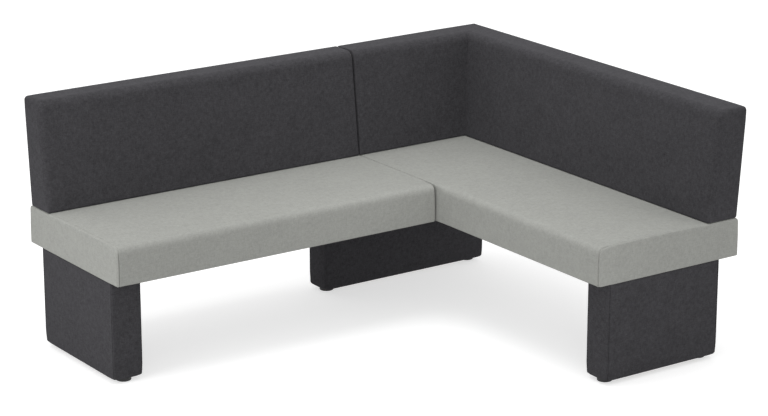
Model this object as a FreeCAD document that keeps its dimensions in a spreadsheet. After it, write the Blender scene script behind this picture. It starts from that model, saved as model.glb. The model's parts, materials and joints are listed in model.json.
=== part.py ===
import FreeCAD, Part
import math
import os
import re
from types import SimpleNamespace

import Sketcher
from FreeCAD import Placement, Rotation, Vector

# Corner banquette: a long bench and a corner unit, upholstered, on three slab legs.
# Millimetres, +Z up. The origin is on the floor, under the middle of the whole outline.
# The long wing runs along X with its back at +Y, the right wing runs along Y with its back at +X.

# Driving sizes, each with what it measures
SIZES = {
    "long_wing": (1884, "long wing, from its left end to the outside of the corner"),
    "right_wing": (1494, "right wing, from its front end to the outside of the corner"),
    "seat_depth": (600, "long seat, front to rear"),
    "corner_width": (604, "corner unit's seat, from the seat joint to its rear"),
    "seat_thick": (134, "seat cushion with its frame"),
    "leg_high": (339, "slab leg, without its feet"),
    "foot_high": (16, "levelling foot under the leg, screwed fully in"),
    "back_high": (379, "back panel above the seat"),
    "back_foot_thick": (123, "back panel at the seat, front to rear"),
    "back_head_thick": (107, "back panel at its top, front to rear"),
    "back_set_in": (12, "back panel's rear face in front of the seat's rear, at the seat"),
    "back_overhang": (16, "back panel's rear face behind the seat's rear, at the top"),
    "soft_gap": (0.3, "free space between two soft faces that meet"),
    "part_gap": (0.1, "free space round a screw, a bolt or a barrel"),
    "overrun": (5, "how far a cutting tool runs past the face that it cuts"),
    "fabric": (1.5, "cover fabric, also where it is turned under"),
    "seat_wrap": (10, "seat cover with its wadding, over the foam and the frame"),
    "seat_turn": (30, "seat cover turned under the frame, inside the rails' outer face"),
    "seat_crown": (6, "rise of the seat's top in its middle"),
    "seat_swell": (1.5, "swell of the seat's front face"),
    "seat_top_round": (18, "rounding of the seat's top edges"),
    "seat_side_round": (12, "rounding of the seat's upright corners"),
    "seat_low_round": (4, "rounding of the seat's bottom edges"),
    "rail_thick": (30, "seat rail, sideways"),
    "rail_high": (70, "seat rail, upright"),
    "deck_thick": (12, "plywood deck on the seat rails"),
    "leg_board_thick": (18, "board in the seat that a leg is bolted to"),
    "end_leg_board_wide": (75, "such a board beside an end rail"),
    "corner_leg_board_wide": (90, "such a board over the corner leg"),
    "dust_sheet_thick": (1, "black sheet under the seat"),
    "back_wrap": (8, "back cover with its wadding"),
    "back_turn": (16, "back cover turned under the back frame"),
    "back_foam_thick": (30, "foam in front of the back's face board"),
    "back_swell": (4, "swell of the back's front face"),
    "back_top_round": (16, "rounding of the back's top edges"),
    "back_low_round": (6, "rounding of the back's bottom edges"),
    "back_side_round": (13, "rounding of the back's upright ends"),
    "face_board_thick": (9, "plywood in front of the back's frame"),
    "rear_board_thick": (4, "hardboard behind the back's frame"),
    "back_rail_high": (70, "back rail, upright"),
    "back_mid_rail_up": (165, "back's middle rail above its lowest rail's foot"),
    "back_top_rail_high": (20, "rail along the back's top"),
    "stud_thick": (22, "upright in the back's frame"),
    "stud_inset": (40, "first upright from the back's end"),
    "bracket_wide": (40, "steel bar that carries a back"),
    "bracket_thick": (6, "the same bar, through"),
    "bracket_low": (6, "the same bar's foot above the seat frame's underside"),
    "bracket_up": (225, "the same bar's top above the seat"),
    "bracket_inset": (150, "outer bar from the end of its back"),
    "corner_bracket_inset": (360, "bar next to the corner, from the seat's rear plane"),
    "angle_long": (60, "each side of the steel angle in the corner"),
    "angle_thick": (4, "the same angle, through"),
    "angle_high": (40, "the same angle, upright"),
    "bracket_screw_radius": (3, "screw through a bar or an angle"),
    "bracket_screw_long": (14, "the same screw's shank behind the steel"),
    "screw_pitch": (40, "from one screw of a pair to the other"),
    "screw_head_radius": (5.5, "the same screw's head"),
    "screw_head_high": (3.5, "the same screw's head, through"),
    "leg_thick": (103, "slab leg, through"),
    "end_leg_long": (475, "slab leg at an end"),
    "corner_leg_long": (714, "slab leg at the corner"),
    "end_leg_side_inset": (5, "end leg's outer face in from the seat's end"),
    "end_leg_rear_inset": (76, "end leg from the seat's rear plane"),
    "corner_leg_side_inset": (80, "corner leg's right end from the right wing's rear plane"),
    "corner_leg_rear_inset": (71, "corner leg from the long wing's rear plane"),
    "leg_wrap": (5, "leg cover with its thin foam"),
    "leg_turn": (16, "leg cover turned under the bottom board"),
    "leg_side_round": (7, "rounding of the leg's upright edges"),
    "leg_low_round": (4, "rounding of the leg's bottom edges"),
    "leg_panel_thick": (15, "plywood side and end of a leg"),
    "leg_cap_thick": (18, "board at a leg's top and bottom"),
    "leg_bolt_inset": (100, "bolt from the end of its leg"),
    "bolt_radius": (4, "bolt that holds a leg"),
    "bolt_head_flats": (13, "bolt head and nut, across flats"),
    "bolt_head_high": (5.3, "bolt head"),
    "nut_high": (8, "flanged nut"),
    "nut_flange_radius": (9, "flange of the nut"),
    "nut_flange_thick": (2, "the same flange, through"),
    "bolt_tail": (3, "bolt above its nut"),
    "link_inset": (110, "first joining plate from the long seat's front"),
    "link_pitch": (190, "from one joining plate to the next"),
    "link_wide": (40, "joining plate under the seat joint, front to rear"),
    "link_thick": (3, "the same plate, through"),
    "link_margin": (15, "the same plate past its screws"),
    "link_screw_radius": (2.5, "screw of the joining plate"),
    "link_screw_long": (30, "the same screw's shank"),
    "link_head_radius": (5, "the same screw's head"),
    "link_head_high": (3, "the same screw's head, through"),
    "foot_inset": (34, "foot's axis from the end of its leg"),
    "corner_foot_inset": (42, "the same under the corner leg's left end"),
    "foot_radius": (26, "foot's pad"),
    "foot_rim_high": (12, "pad's rim"),
    "foot_rim_round": (3, "rounding under the pad's rim"),
    "foot_neck_radius": (13, "pad's neck, against the leg"),
    "stem_radius": (5, "foot's threaded stem"),
    "stem_long": (42, "the same stem above the pad"),
    "stem_in_pad": (8, "the same stem inside the pad"),
    "stem_gap": (0.05, "free space round the stem in its nut"),
    "foot_nut_radius": (7, "threaded barrel in the leg's bottom board"),
    "foot_nut_long": (13, "the same barrel above its flange"),
    "foot_nut_flange_radius": (12, "flange of the same barrel"),
}

# Derived places in the same words, worked out by the second sheet
PLACES = {
    "right_x": ("(long_wing - back_overhang) / 2", "rear plane of the right wing"),
    "rear_y": ("(right_wing - back_overhang) / 2", "rear plane of the long wing"),
    "left_x": ("right_x - long_wing", "left end"),
    "front_y": ("rear_y - right_wing", "front end of the right wing"),
    "joint_x": ("right_x - corner_width", "joint between the two seats"),
    "long_front_y": ("rear_y - seat_depth", "front of the long seat"),
    "long_seat_long": ("long_wing - corner_width", "long seat, end to end"),
    "seat_z": ("foot_high + leg_high", "underside of the seat"),
    "frame_z": ("seat_z + fabric", "underside of the seat rails"),
    "deck_z": ("frame_z + rail_high", "underside of the deck"),
    "foam_z": ("deck_z + deck_thick", "underside of the seat foam"),
    "seat_top_z": ("seat_z + seat_thick", "top of the seat under the backs"),
    "foam_top_z": ("seat_top_z - seat_wrap", "top of the seat foam"),
    "back_z": ("seat_top_z + soft_gap", "underside of the backs"),
    "top_z": ("back_z + back_high - soft_gap", "top of the backs"),
    "back_frame_z": ("back_z + fabric", "underside of the back's frame"),
    "back_frame_top_z": ("top_z - back_wrap", "top of the back's frame"),
    "bracket_plane": ("seat_wrap + rail_thick", "front of the rear rails, from the rear plane"),
    "front_lean": (
        "(back_set_in + back_foot_thick + back_overhang - back_head_thick) / back_high",
        "how far the back's front goes rearwards for each millimetre of height",
    ),
    "rear_lean": ("(back_set_in + back_overhang) / back_high", "the same for its rear"),
    "left_leg_x": ("left_x + end_leg_side_inset", "left leg's outer face"),
    "left_leg_y": ("rear_y - end_leg_rear_inset - end_leg_long", "left leg's front end"),
    "right_leg_x": ("right_x - end_leg_rear_inset - end_leg_long", "right leg's left end"),
    "right_leg_y": ("front_y + end_leg_side_inset", "right leg's front face"),
    "corner_leg_x": ("right_x - corner_leg_side_inset - corner_leg_long", "corner leg's left end"),
    "corner_leg_y": ("rear_y - corner_leg_rear_inset - leg_thick", "corner leg's front face"),
    "leg_frame_z": ("foot_high + fabric", "underside of a leg's bottom board"),
}

doc = FreeCAD.newDocument("corner_banquette")


def make_sheet(name, rows):
    """A spreadsheet with one row for each value: its meaning, and the value under its alias."""
    sheet = doc.addObject("Spreadsheet::Sheet", name)
    for number, (alias, (content, meaning)) in enumerate(rows.items(), start=1):
        sheet.set(f"A{number}", meaning)
        sheet.set(f"B{number}", content)
        sheet.setAlias(f"B{number}", alias)
    return sheet


def in_sheets(formula):
    """The formula with each of its words pointing at the sheet that holds it."""

    def point(match):
        word = match.group(0)
        if word in SIZES:
            return "Sizes." + word
        return "Places." + word if word in PLACES else word

    return re.sub(r"[a-z][a-z_]+", point, formula)


sizes_sheet = make_sheet("Sizes", {name: (str(value), note) for name, (value, note) in SIZES.items()})
doc.recompute()
places_sheet = make_sheet(
    "Places", {name: ("=" + in_sheets(formula), note) for name, (formula, note) in PLACES.items()}
)
doc.recompute()
size = SimpleNamespace(**{name: float(sizes_sheet.get(name)) for name in SIZES})
place = SimpleNamespace(**{name: float(places_sheet.get(name)) for name in PLACES})
nodes = {}


def bind(thing, **formulas):
    """Tie properties of a document object to the sheets."""
    for name, formula in formulas.items():
        thing.setExpression(name, in_sheets(formula))


def bind_place(thing, x, y, z):
    """Tie the place of a document object to the sheets."""
    for axis, formula in (("x", x), ("y", y), ("z", z)):
        thing.setExpression(".Placement.Base." + axis, in_sheets(formula))


def keep(label, thing):
    """Name a finished sub-part, which is then written out under that name."""
    thing.Label = label
    nodes[label] = thing
    return thing


def shape_object(name, shape, where=None):
    """A document object around a shape made in code."""
    thing = doc.addObject("Part::Feature", name)
    thing.Shape = shape
    if where is not None:
        thing.Placement = where
    return thing


def group(name, pieces):
    thing = doc.addObject("Part::Compound", name)
    thing.Links = pieces
    return thing


def cut(name, base, tool, refine=True):
    thing = doc.addObject("Part::Cut", name)
    thing.Base = base
    thing.Tool = tool
    thing.Refine = refine
    return thing


# Wings
# A wing has its own run u along its length, w towards its rear and z up. On the long wing u goes
# to +X and w to +Y; on the right wing u goes to -Y and w to +X, from the outside of the corner.
LONG = SimpleNamespace(base=("left_x", "rear_y"), turned=False)
CORNER = SimpleNamespace(base=("joint_x", "rear_y"), turned=False)
RIGHT = SimpleNamespace(base=("right_x", "rear_y"), turned=True)


def wing_box(wing, name, u, w, z, long, wide, high):
    """A box in a wing's own directions, each place and side a formula."""
    thing = doc.addObject("Part::Box", name)
    base_x, base_y = wing.base
    if wing.turned:
        bind(thing, Length=wide, Width=long, Height=high)
        bind_place(thing, f"{base_x} + ({w})", f"{base_y} - ({u}) - ({long})", z)
    else:
        bind(thing, Length=long, Width=wide, Height=high)
        bind_place(thing, f"{base_x} + ({u})", f"{base_y} + ({w})", z)
    return thing


def wing_spot(wing, u, w, z):
    """A point in a wing's own directions as a point of the whole."""
    x, y = (getattr(place, name) for name in wing.base)
    return Vector(x + w, y - u, z) if wing.turned else Vector(x + u, y + w, z)


def wing_placement(wing):
    turn = -90 if wing.turned else 0
    return Placement(wing_spot(wing, 0, 0, 0), Rotation(Vector(0, 0, 1), turn))


# Soft forms: sections of lines and arcs, lofted along a wing


def section(u, corners):
    """A closed wire across a wing at u. Each corner gives w, z, its rounding and how far the side
    after it swells; None is a side that stays straight."""
    spots = [Vector(0, w, z) for w, z, rounding, swell in corners]
    count = len(spots)
    turns = []
    for index, (w, z, rounding, swell) in enumerate(corners):
        spot = spots[index]
        back = (spots[index - 1] - spot).normalize()
        ahead = (spots[(index + 1) % count] - spot).normalize()
        half = back.getAngle(ahead) / 2
        reach = rounding / math.tan(half)
        centre = spot + (back + ahead).normalize() * (rounding / math.sin(half)) if rounding else spot
        top = centre + (spot - centre).normalize() * rounding if rounding else spot
        turns.append((spot + back * reach, top, spot + ahead * reach))
    edges = []
    along = Vector(u, 0, 0)
    for index, (w, z, rounding, swell) in enumerate(corners):
        start, top, end = (point + along for point in turns[index])
        following = turns[(index + 1) % count][0] + along
        if rounding:
            edges.append(Part.Arc(start, top, end).toShape())
        if swell is None:
            edges.append(Part.LineSegment(end, following).toShape())
        else:
            outward = Vector(1, 0, 0).cross(following - end).normalize()
            middle = (end + following) / 2 + outward * swell
            edges.append(Part.Arc(end, middle, following).toShape())
    return Part.Wire(edges)


ROUND_STEPS = 6


def lofted(ring, length, rounding, stations, round_start=True, round_end=True):
    """A solid through the sections that ring(u, drawn) gives. A rounded end is a smooth loft
    through sections drawn in more and more, and the run between the ends is a straight one
    through the stations."""
    angles = [math.pi / 2 * step / ROUND_STEPS for step in range(ROUND_STEPS + 1)]
    steps = [(rounding * (1 - math.cos(angle)), 1 - math.sin(angle)) for angle in angles]
    first = rounding if round_start else 0
    last = length - rounding if round_end else length
    middle = [ring(u, 0) for u in [first] + stations + [last]]
    body = Part.makeLoft(middle, True, True)
    caps = []
    if round_start:
        caps.append(Part.makeLoft([ring(u, drawn) for u, drawn in steps], True, False))
    if round_end:
        caps.append(Part.makeLoft([ring(length - u, drawn) for u, drawn in reversed(steps)], True, False))
    return body.fuse(caps)


DRAWN_ROUND_SHARE = 0.6
FLAT_CROWN_SHARE = 0.03
SEAT_STATION_SHARES = (0.05, 0.14, 0.3, 0.5, 0.7, 0.86, 0.95)


def seat_form(length, width, shelf, crown_start):
    """The outside of a seat cushion: it is level under the backs, crowned where people sit, and
    rounded at its edges. The crown begins at crown_start along the seat."""
    run = length - crown_start

    def ring(u, drawn):
        share = min(max((u - crown_start) / run, 0), 1)
        crown = size.seat_crown * max(1 - (2 * share - 1) ** 4, FLAT_CROWN_SHARE)
        side = drawn * size.seat_side_round
        top = place.seat_top_z - drawn * size.seat_top_round
        low = place.seat_z + drawn * size.seat_low_round
        keep_round = 1 - DRAWN_ROUND_SHARE * drawn
        front = size.seat_swell + side
        return section(
            u,
            [
                (front, low, size.seat_low_round * keep_round, size.seat_swell),
                (front, top, size.seat_top_round * keep_round, crown),
                (shelf, top, 0, None),
                (width - side, top, size.seat_top_round * keep_round, None),
                (width - side, low, size.seat_low_round * keep_round, None),
            ],
        )

    stations = [crown_start] if crown_start else []
    stations += [crown_start + run * share for share in SEAT_STATION_SHARES]
    return lofted(ring, length, size.seat_top_round, stations)


def back_front(z):
    """Front of the back panels at a height, from the rear plane."""
    return -(size.back_set_in + size.back_foot_thick) + place.front_lean * (z - place.seat_top_z)


def back_rear(z):
    """Rear of the back panels at a height, from the rear plane."""
    return -size.back_set_in + place.rear_lean * (z - place.seat_top_z)


def back_form(length, round_start, round_end):
    """The outside of a back panel, leaning, with its front swelling a little; an end that goes
    into the mitre stays square."""

    def ring(u, drawn):
        side = drawn * size.back_side_round
        top = place.top_z - drawn * size.back_side_round
        low = place.back_z + drawn * size.back_low_round
        keep_round = 1 - DRAWN_ROUND_SHARE * drawn
        swell = size.back_swell * max(1 - drawn, FLAT_CROWN_SHARE)
        front_step = side + size.back_swell
        return section(
            u,
            [
                (back_front(low) + front_step, low, size.back_low_round * keep_round, swell),
                (back_front(top) + front_step, top, size.back_top_round * keep_round, None),
                (back_rear(top) - side, top, size.back_top_round * keep_round, None),
                (back_rear(low) - side, low, size.back_low_round * keep_round, None),
            ],
        )

    return lofted(ring, length, size.back_side_round, [], round_start, round_end)


def prism(start, end, outline):
    """A straight piece along a wing from start to end; the outline is a list of w and z."""
    points = [Vector(start, w, z) for w, z in outline]
    return Part.Face(Part.makePolygon(points + points[:1])).extrude(Vector(end - start, 0, 0))


def block(start, end, front, rear, low, high):
    return prism(start, end, [(front, low), (front, high), (rear, high), (rear, low)])


def leaning(start, end, front_in, rear_in, low, high):
    """A piece between two planes set in from the back's front and from its rear."""
    return prism(
        start,
        end,
        [
            (back_front(low) + front_in, low),
            (back_front(high) + front_in, high),
            (back_rear(high) - rear_in, high),
            (back_rear(low) - rear_in, low),
        ],
    )


def front_sheet(start, end, outer, inner, low, high):
    """A leaning board or foam between two depths behind the back's front."""
    return prism(
        start,
        end,
        [
            (back_front(low) + outer, low),
            (back_front(high) + outer, high),
            (back_front(high) + inner, high),
            (back_front(low) + inner, low),
        ],
    )


def rear_sheet(start, end, outer, inner, low, high):
    """A leaning board between two depths in front of the back's rear."""
    return prism(
        start,
        end,
        [
            (back_rear(low) - inner, low),
            (back_rear(high) - inner, high),
            (back_rear(high) - outer, high),
            (back_rear(low) - outer, low),
        ],
    )


# Mitre between the corner unit's two backs
mitre_reach = size.seat_depth


def mitre_side(shift, over_x):
    """What lies beyond the mitre: on its +X side, or on its +Y side."""
    corner = Vector(place.right_x, place.rear_y, 0)
    slide = Vector(-shift, shift, 0) if over_x else Vector(shift, -shift, 0)
    near = corner - Vector(mitre_reach, mitre_reach, 0) + slide
    far = corner + Vector(mitre_reach, mitre_reach, 0) + slide
    third = Vector(far.x, near.y, 0) if over_x else Vector(near.x, far.y, 0)
    face = Part.Face(Part.makePolygon([near, far, third, near]))
    return face.extrude(Vector(0, 0, place.top_z + size.overrun))


beyond_corner_back = shape_object("beyond_corner_back", mitre_side(size.soft_gap / 2, True))
beyond_right_back = shape_object("beyond_right_back", mitre_side(size.soft_gap / 2, False))

# Fasteners: where they are, what they look like and the holes that they need


def disc(spot, radius, high, direction=Vector(0, 0, 1)):
    return Part.makeCylinder(radius, high, spot, direction)


def hexagon(spot, flats, high):
    radius = flats / math.sqrt(3)
    corners = [
        spot + Vector(radius * math.cos(math.pi / 3 * side), radius * math.sin(math.pi / 3 * side), 0)
        for side in range(6)
    ]
    return Part.Face(Part.makePolygon(corners + corners[:1])).extrude(Vector(0, 0, high))


def half_way(low, high):
    return (low + high) / 2


left_leg_middle = place.left_leg_x + size.leg_thick / 2
right_leg_middle = place.right_leg_y + size.leg_thick / 2
corner_leg_middle = place.corner_leg_y + size.leg_thick / 2
corner_leg_right = place.corner_leg_x + size.corner_leg_long
rail_face = size.seat_wrap + size.rail_thick
lap_start = place.corner_leg_x + size.rail_thick / 2
lap_middle = half_way(lap_start, place.joint_x - rail_face)

LEG_BOLTS = [
    (left_leg_middle, place.left_leg_y + size.leg_bolt_inset),
    (left_leg_middle, place.left_leg_y + size.end_leg_long - size.leg_bolt_inset),
    (place.right_leg_x + size.leg_bolt_inset, right_leg_middle),
    (place.right_leg_x + size.end_leg_long - size.leg_bolt_inset, right_leg_middle),
    (lap_middle, corner_leg_middle),
    (place.joint_x + rail_face + size.leg_bolt_inset, corner_leg_middle),
    (corner_leg_right - size.leg_bolt_inset, corner_leg_middle),
]
bolt_foot_z = place.seat_z - size.leg_cap_thick
nut_foot_z = place.frame_z + size.leg_board_thick
bolt_top_z = nut_foot_z + size.nut_high + size.bolt_tail


def leg_bolt(x, y):
    head = hexagon(Vector(x, y, bolt_foot_z - size.bolt_head_high), size.bolt_head_flats, size.bolt_head_high)
    shank = disc(Vector(x, y, bolt_foot_z), size.bolt_radius, bolt_top_z - bolt_foot_z)
    return head.fuse(shank).removeSplitter()


def leg_nut(x, y):
    foot = Vector(x, y, nut_foot_z)
    body = disc(foot, size.nut_flange_radius, size.nut_flange_thick)
    body = body.fuse(hexagon(foot, size.bolt_head_flats, size.nut_high))
    return body.cut(disc(foot, size.bolt_radius + size.part_gap, size.nut_high)).removeSplitter()


bolt_reach = bolt_top_z - bolt_foot_z
bolt_holes = [
    disc(Vector(x, y, bolt_foot_z - size.overrun / 2), size.bolt_radius + size.part_gap, bolt_reach)
    for x, y in LEG_BOLTS
]

# Bars that carry the backs, by wing and by their middle along the wing's back
BRACKETS = [
    (LONG, size.bracket_inset),
    (LONG, half_way(size.bracket_inset, place.long_seat_long - size.bracket_inset)),
    (LONG, place.long_seat_long - size.bracket_inset),
    (CORNER, size.corner_width - size.corner_bracket_inset),
    (RIGHT, size.corner_bracket_inset),
    (RIGHT, half_way(size.corner_bracket_inset, size.right_wing - size.bracket_inset)),
    (RIGHT, size.right_wing - size.bracket_inset),
]
bracket_foot_z = place.frame_z + size.bracket_low
bracket_top_z = place.seat_top_z + size.bracket_up
low_screw_z = place.frame_z + size.rail_high / 2 - size.screw_pitch / 2
back_low_screw_z = place.back_frame_z + size.back_rail_high / 2
back_mid_screw_z = place.back_frame_z + size.back_mid_rail_up + size.back_rail_high / 2 - size.overrun
BRACKET_SCREW_HEIGHTS = (low_screw_z, low_screw_z + size.screw_pitch, back_low_screw_z, back_mid_screw_z)
ANGLE_HEIGHTS = (
    place.back_frame_z + size.back_rail_high / 2 - size.angle_high / 2,
    back_mid_screw_z - size.angle_high / 2,
)


def turned(shape, wing):
    """A shape made in a wing's own directions, put in its place in the whole."""
    shape = shape.copy()
    shape.Placement = wing_placement(wing).multiply(shape.Placement)
    return shape


def bracket(wing, u, slack=0.0, low=bracket_foot_z, high=bracket_top_z):
    half = size.bracket_wide / 2 + slack
    rear = -place.bracket_plane + slack
    front = -place.bracket_plane - size.bracket_thick - slack
    return turned(block(u - half, u + half, front, rear, low, high), wing)


def steel_screw(wing, u, z, steel, slack=0.0):
    """A screw from the front through the steel into the rail behind it."""
    face = Vector(u, -place.bracket_plane - steel, z)
    rearwards = Vector(0, 1, 0)
    shank = disc(face, size.bracket_screw_radius + slack, steel + size.bracket_screw_long, rearwards)
    if slack:
        return turned(shank, wing)
    head = disc(face, size.screw_head_radius, size.screw_head_high, -rearwards)
    return turned(head.fuse(shank).removeSplitter(), wing)


angle_screw_u = place.bracket_plane + size.angle_long / 2 + size.screw_head_radius
ANGLE_SCREWS = [
    (wing, u, z + size.angle_high / 2)
    for z in ANGLE_HEIGHTS
    for wing, u in ((CORNER, size.corner_width - angle_screw_u), (RIGHT, angle_screw_u))
]
BRACKET_SCREWS = [(wing, u, z) for wing, u in BRACKETS for z in BRACKET_SCREW_HEIGHTS]
steel_screws = [steel_screw(wing, u, z, size.bracket_thick) for wing, u, z in BRACKET_SCREWS]
steel_screws += [steel_screw(wing, u, z, size.angle_thick) for wing, u, z in ANGLE_SCREWS]
steel_holes = [steel_screw(wing, u, z, size.bracket_thick, size.part_gap) for wing, u, z in BRACKET_SCREWS]
steel_holes += [steel_screw(wing, u, z, size.angle_thick, size.part_gap) for wing, u, z in ANGLE_SCREWS]

# Plates that join the two seats, and their screws
LINK_PLATES_Y = (
    place.long_front_y + size.link_inset,
    place.long_front_y + size.link_inset + size.link_pitch,
)
link_screw_x = size.seat_wrap + size.rail_thick / 2
link_z = place.seat_z - size.link_thick
LINK_SCREWS = [
    (place.joint_x + side * link_screw_x, y + step * size.link_wide / 4)
    for y in LINK_PLATES_Y
    for side in (-1, 1)
    for step in (-1, 1)
]


def link_screw(x, y):
    head = disc(Vector(x, y, link_z - size.link_head_high), size.link_head_radius, size.link_head_high)
    shank = disc(Vector(x, y, link_z), size.link_screw_radius, size.link_screw_long)
    return head.fuse(shank).removeSplitter()


link_hole_radius = size.link_screw_radius + size.part_gap
link_holes = [
    disc(Vector(x, y, link_z - size.overrun / 2), link_hole_radius, size.link_screw_long + size.overrun)
    for x, y in LINK_SCREWS
]

# Feet: axis of each, by leg
FEET = {
    "left_front": (left_leg_middle, place.left_leg_y + size.foot_inset),
    "left_rear": (left_leg_middle, place.left_leg_y + size.end_leg_long - size.foot_inset),
    "corner_left": (place.corner_leg_x + size.corner_foot_inset, corner_leg_middle),
    "corner_right": (corner_leg_right - size.foot_inset, corner_leg_middle),
    "right_left": (place.right_leg_x + size.foot_inset, right_leg_middle),
    "right_right": (place.right_leg_x + size.end_leg_long - size.foot_inset, right_leg_middle),
}
foot_holes = [
    disc(Vector(x, y, size.foot_high), size.foot_nut_radius + size.part_gap, size.leg_cap_thick + size.overrun)
    for x, y in FEET.values()
]

bolt_drilling = shape_object("bolt_drilling", Part.makeCompound(bolt_holes))
cap_drilling = shape_object("cap_drilling", Part.makeCompound(bolt_holes + foot_holes))
steel_drilling = shape_object("steel_drilling", Part.makeCompound(steel_holes))
link_drilling = shape_object("link_drilling", Part.makeCompound(link_holes))
rail_drilling = shape_object("rail_drilling", Part.makeCompound(steel_holes + link_holes))
slots = shape_object(
    "bracket_slots",
    Part.makeCompound(
        [
            bracket(wing, u, size.soft_gap, place.frame_z, place.back_z + size.seat_crown)
            for wing, u in BRACKETS
        ]
    ),
)


# Seats: rails, deck, foam, cover and dust sheet of one unit


def make_seat(name, wing, front, length, width, shelf, crown_start, cross_rails, leg_boards):
    """One seat. The wing's directions are used; front is where the seat's front lies in w.
    cross_rails are the starts of its inner rails and leg_boards their corners and sides."""
    inner_long = f"{length} - 2 * seat_wrap"
    inner_wide = f"{width} - 2 * seat_wrap"
    inner_front = f"{front} + seat_wrap"
    rail_long = f"{inner_wide} - 2 * rail_thick"
    rail_front = f"{inner_front} + rail_thick"

    long_rails = [
        wing_box(wing, name + "_" + side, "seat_wrap", w, "frame_z", inner_long, "rail_thick", "rail_high")
        for side, w in (
            ("front_rail", inner_front),
            ("rear_rail", f"{front} + {width} - seat_wrap - rail_thick"),
        )
    ]
    rails = group(name + "_rail_pair", long_rails)
    keep(name + "_long_rails", cut(name + "_drilled_rails", rails, rail_drilling))

    starts = ["seat_wrap"] + cross_rails + [f"{length} - seat_wrap - rail_thick"]
    cross = [
        wing_box(wing, f"{name}_cross_{number}", u, rail_front, "frame_z", "rail_thick", rail_long, "rail_high")
        for number, u in enumerate(starts, start=1)
    ]
    across = group(name + "_cross_set", cross)
    keep(name + "_cross_rails", cut(name + "_drilled_cross", across, rail_drilling))

    boards = [
        wing_box(wing, f"{name}_board_{number}", u, w, "frame_z", long, wide, "leg_board_thick")
        for number, (u, w, long, wide) in enumerate(leg_boards, start=1)
    ]
    board_pair = group(name + "_board_pair", boards)
    keep(name + "_leg_boards", cut(name + "_drilled_boards", board_pair, bolt_drilling))

    deck = wing_box(
        wing, name + "_deck_board", "seat_wrap", inner_front, "deck_z", inner_long, inner_wide, "deck_thick"
    )
    keep(name + "_deck", cut(name + "_slotted_deck", deck, slots))
    foam = wing_box(
        wing,
        name + "_foam_block",
        "seat_wrap",
        inner_front,
        "foam_z",
        inner_long,
        inner_wide,
        "foam_top_z - foam_z",
    )
    keep(name + "_foam", cut(name + "_slotted_foam", foam, slots))

    turn = "seat_wrap + seat_turn"
    sheet = wing_box(
        wing,
        name + "_sheet",
        f"{turn} + soft_gap",
        f"{front} + {turn} + soft_gap",
        "frame_z - dust_sheet_thick",
        f"{length} - 2 * ({turn} + soft_gap)",
        f"{width} - 2 * ({turn} + soft_gap)",
        "dust_sheet_thick",
    )
    keep(name + "_dust_sheet", cut(name + "_pierced_sheet", sheet, bolt_drilling))

    hollow = wing_box(
        wing,
        name + "_hollow",
        "seat_wrap",
        inner_front,
        "frame_z",
        inner_long,
        inner_wide,
        "foam_top_z - frame_z",
    )
    mouth = wing_box(
        wing,
        name + "_mouth",
        turn,
        f"{front} + {turn}",
        "seat_z - overrun",
        f"{length} - 2 * ({turn})",
        f"{width} - 2 * ({turn})",
        "rail_high",
    )
    where = wing_placement(wing).multiply(Placement(Vector(0, shelf[0], 0), Rotation()))
    outside = shape_object(
        name + "_outside", seat_form(crown_start[0], shelf[1], shelf[2], crown_start[1]), where
    )
    inside = doc.addObject("Part::Fuse", name + "_inside")
    inside.Base, inside.Tool = hollow, mouth
    shell = cut(name + "_shell", outside, inside, refine=False)
    slotted = cut(name + "_slotted_shell", shell, slots, refine=False)
    keep(name + "_cover", cut(name + "_drilled_shell", slotted, link_drilling, refine=False))


back_reach = size.back_set_in + size.back_foot_thick
make_seat(
    "long_seat",
    LONG,
    front="-seat_depth",
    length="long_seat_long",
    width="seat_depth",
    shelf=(-size.seat_depth, size.seat_depth, size.seat_depth - back_reach),
    crown_start=(place.long_seat_long - size.soft_gap / 2, 0),
    cross_rails=[
        "(end_leg_board_wide + corner_leg_x - left_x) / 2",
        "corner_leg_x - left_x - rail_thick / 2",
    ],
    leg_boards=[
        (
            "seat_wrap + rail_thick",
            "rail_thick + seat_wrap - seat_depth",
            "end_leg_board_wide",
            "seat_depth - 2 * (seat_wrap + rail_thick)",
        ),
        (
            "corner_leg_x - left_x + rail_thick / 2",
            "corner_leg_y - rear_y + (leg_thick - corner_leg_board_wide) / 2",
            "joint_x - corner_leg_x - seat_wrap - rail_thick - rail_thick / 2",
            "corner_leg_board_wide",
        ),
    ],
)
make_seat(
    "corner_seat",
    RIGHT,
    front="-corner_width",
    length="right_wing",
    width="corner_width",
    shelf=(-size.corner_width, size.corner_width, size.corner_width - back_reach),
    crown_start=(size.right_wing, back_reach),
    cross_rails=["right_wing / 3", "right_wing * 2 / 3"],
    leg_boards=[
        (
            "right_wing - seat_wrap - rail_thick - end_leg_board_wide",
            "rail_thick + seat_wrap - corner_width",
            "end_leg_board_wide",
            "corner_width - 2 * (seat_wrap + rail_thick)",
        ),
        (
            "corner_leg_rear_inset + (leg_thick - corner_leg_board_wide) / 2",
            "rail_thick + seat_wrap - corner_width",
            "corner_leg_board_wide",
            "corner_width - 2 * (seat_wrap + rail_thick)",
        ),
    ],
)

# Backs: boards, frame, foam and cover of one panel


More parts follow.
